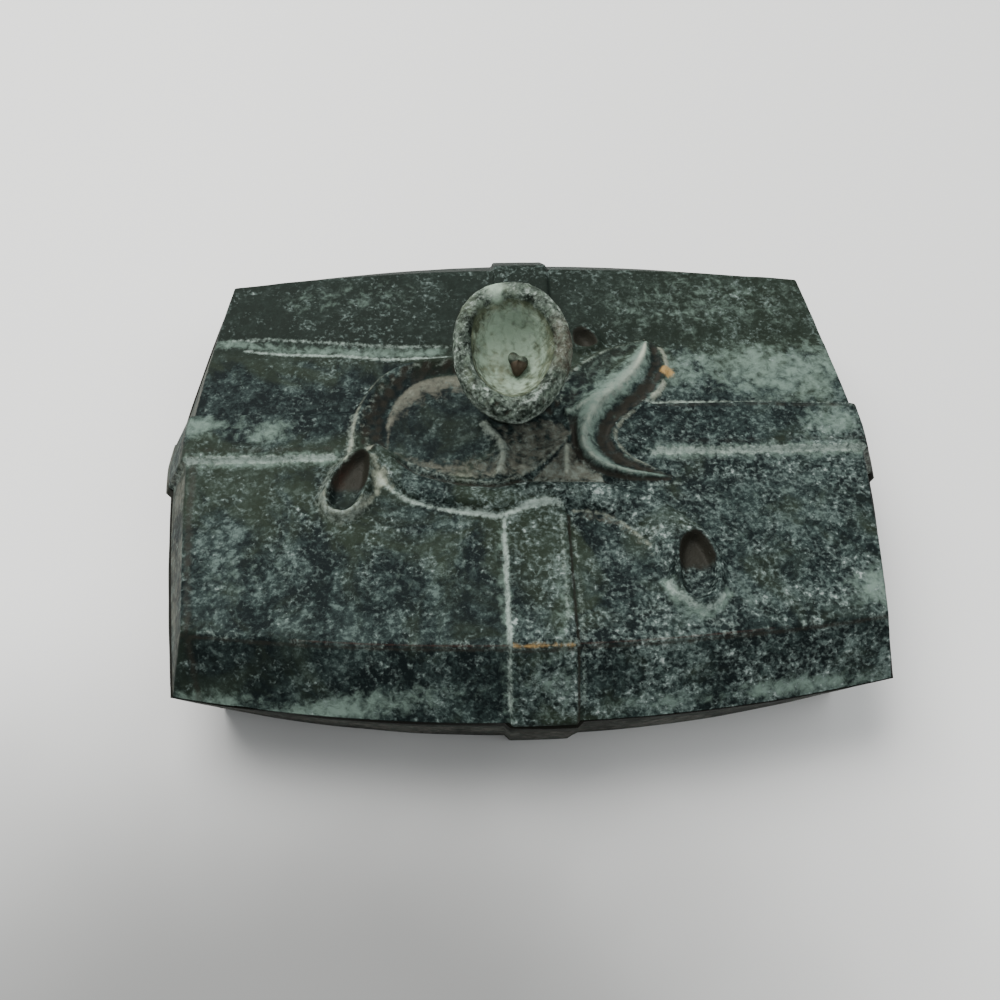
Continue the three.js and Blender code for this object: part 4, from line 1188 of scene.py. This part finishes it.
def makeStage():
    half = stageLook["floorHalf"]
    corners = [(-half, -half, 0), (half, -half, 0), (half, half, 0), (-half, half, 0)]
    floor = makeMesh("floor", corners, [(0, 1, 2, 3)])
    floor.data.materials.append(makeFloorMaterial())
    world = bpy.data.worlds.new("softSky")
    world.use_nodes = True
    background = world.node_tree.nodes["Background"].inputs
    background["Color"].default_value = stageLook["sky"]
    background["Strength"].default_value = stageLook["skyStrength"]
    bpy.context.scene.world = world
    for name, (place, size, power, tint) in stageLook["lights"].items():
        data = bpy.data.lights.new(name, "AREA")
        data.size, data.energy, data.color = size, power, tint
        lamp = bpy.data.objects.new(name, data)
        lamp.location = place
        lamp.rotation_euler = (Vector((0, 0, 0.02)) - Vector(place)).to_track_quat("-Z", "Y").to_euler()
        bpy.context.scene.collection.objects.link(lamp)


# the photograph's viewpoint, fitted to the box's corners and edges; degrees, and millimetres from the
# middle of the box at the height of its seam
viewpoint = {
    "place": (-9.243, -97.682, 138.799), "down": 57.209, "turn": 2.868, "roll": -1.134,
    "focalPixels": 961.576, "centre": (496.933, 500.189), "frameSize": 1000, "sensor": 36.0,
}


def makeCamera():
    v = viewpoint
    down, turn, roll = (math.radians(v[key]) for key in ("down", "turn", "roll"))
    ahead = Vector((math.sin(turn) * math.cos(down), math.cos(turn) * math.cos(down), -math.sin(down)))
    level = Vector((math.cos(turn), -math.sin(turn), 0))
    below = ahead.cross(level)
    right = level * math.cos(roll) + below * math.sin(roll)
    under = below * math.cos(roll) - level * math.sin(roll)
    data = bpy.data.cameras.new("photoCamera")
    data.sensor_width = v["sensor"]
    data.lens = v["sensor"] * v["focalPixels"] / v["frameSize"]
    data.shift_x = 0.5 - v["centre"][0] / v["frameSize"]
    data.shift_y = v["centre"][1] / v["frameSize"] - 0.5
    data.clip_start = 0.01
    camera = bpy.data.objects.new("photoCamera", data)
    x, y, z = v["place"]
    turned = Matrix((right, -under, -ahead)).transposed().to_4x4()
    camera.matrix_world = Matrix.Translation(Vector((x, y, z + seamLevel)) * mm) @ turned
    bpy.context.scene.collection.objects.link(camera)
    bpy.context.scene.camera = camera


makeCamera()
makeStage()
print("camera and stage ready")
buildSpeckleGroup()
buildPatchGroup()
buildPatinaGroup()
lidBronze, trayBronze, knobBronze = (makeFinish(name) for name in ("lid", "tray", "knob"))
print("finishes ready")

dress(makeTray(), trayBronze, "tray", "tray_bronze", "tray", "tray_band_left", "tray_band_right",
      "tray_band_front", "tray_band_back")
print("tray made")
dress(makeLid(), lidBronze, "lid", "lid_bronze", "lid_shell", "lid_band_left", "lid_band_right",
      "lid_band_front", "lid_band_back", "knot_dish", "knot_ribbon_tail", "knot_leaf", "knot_web",
      "ribbon_tip_right", "ribbon_tip_left", "ribbon_tip_back")
print("lid and knot made")
dress(makeKnob(), knobBronze, "lid", "verdigris_bronze", "knob_cup")
dress(makePip(), knobBronze, "lid", "brown_bronze", "knob_pip")
print("knob made")
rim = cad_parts["lid_locating_rim"]
rim.data.materials.clear()
rim.data.materials.append(trayBronze)
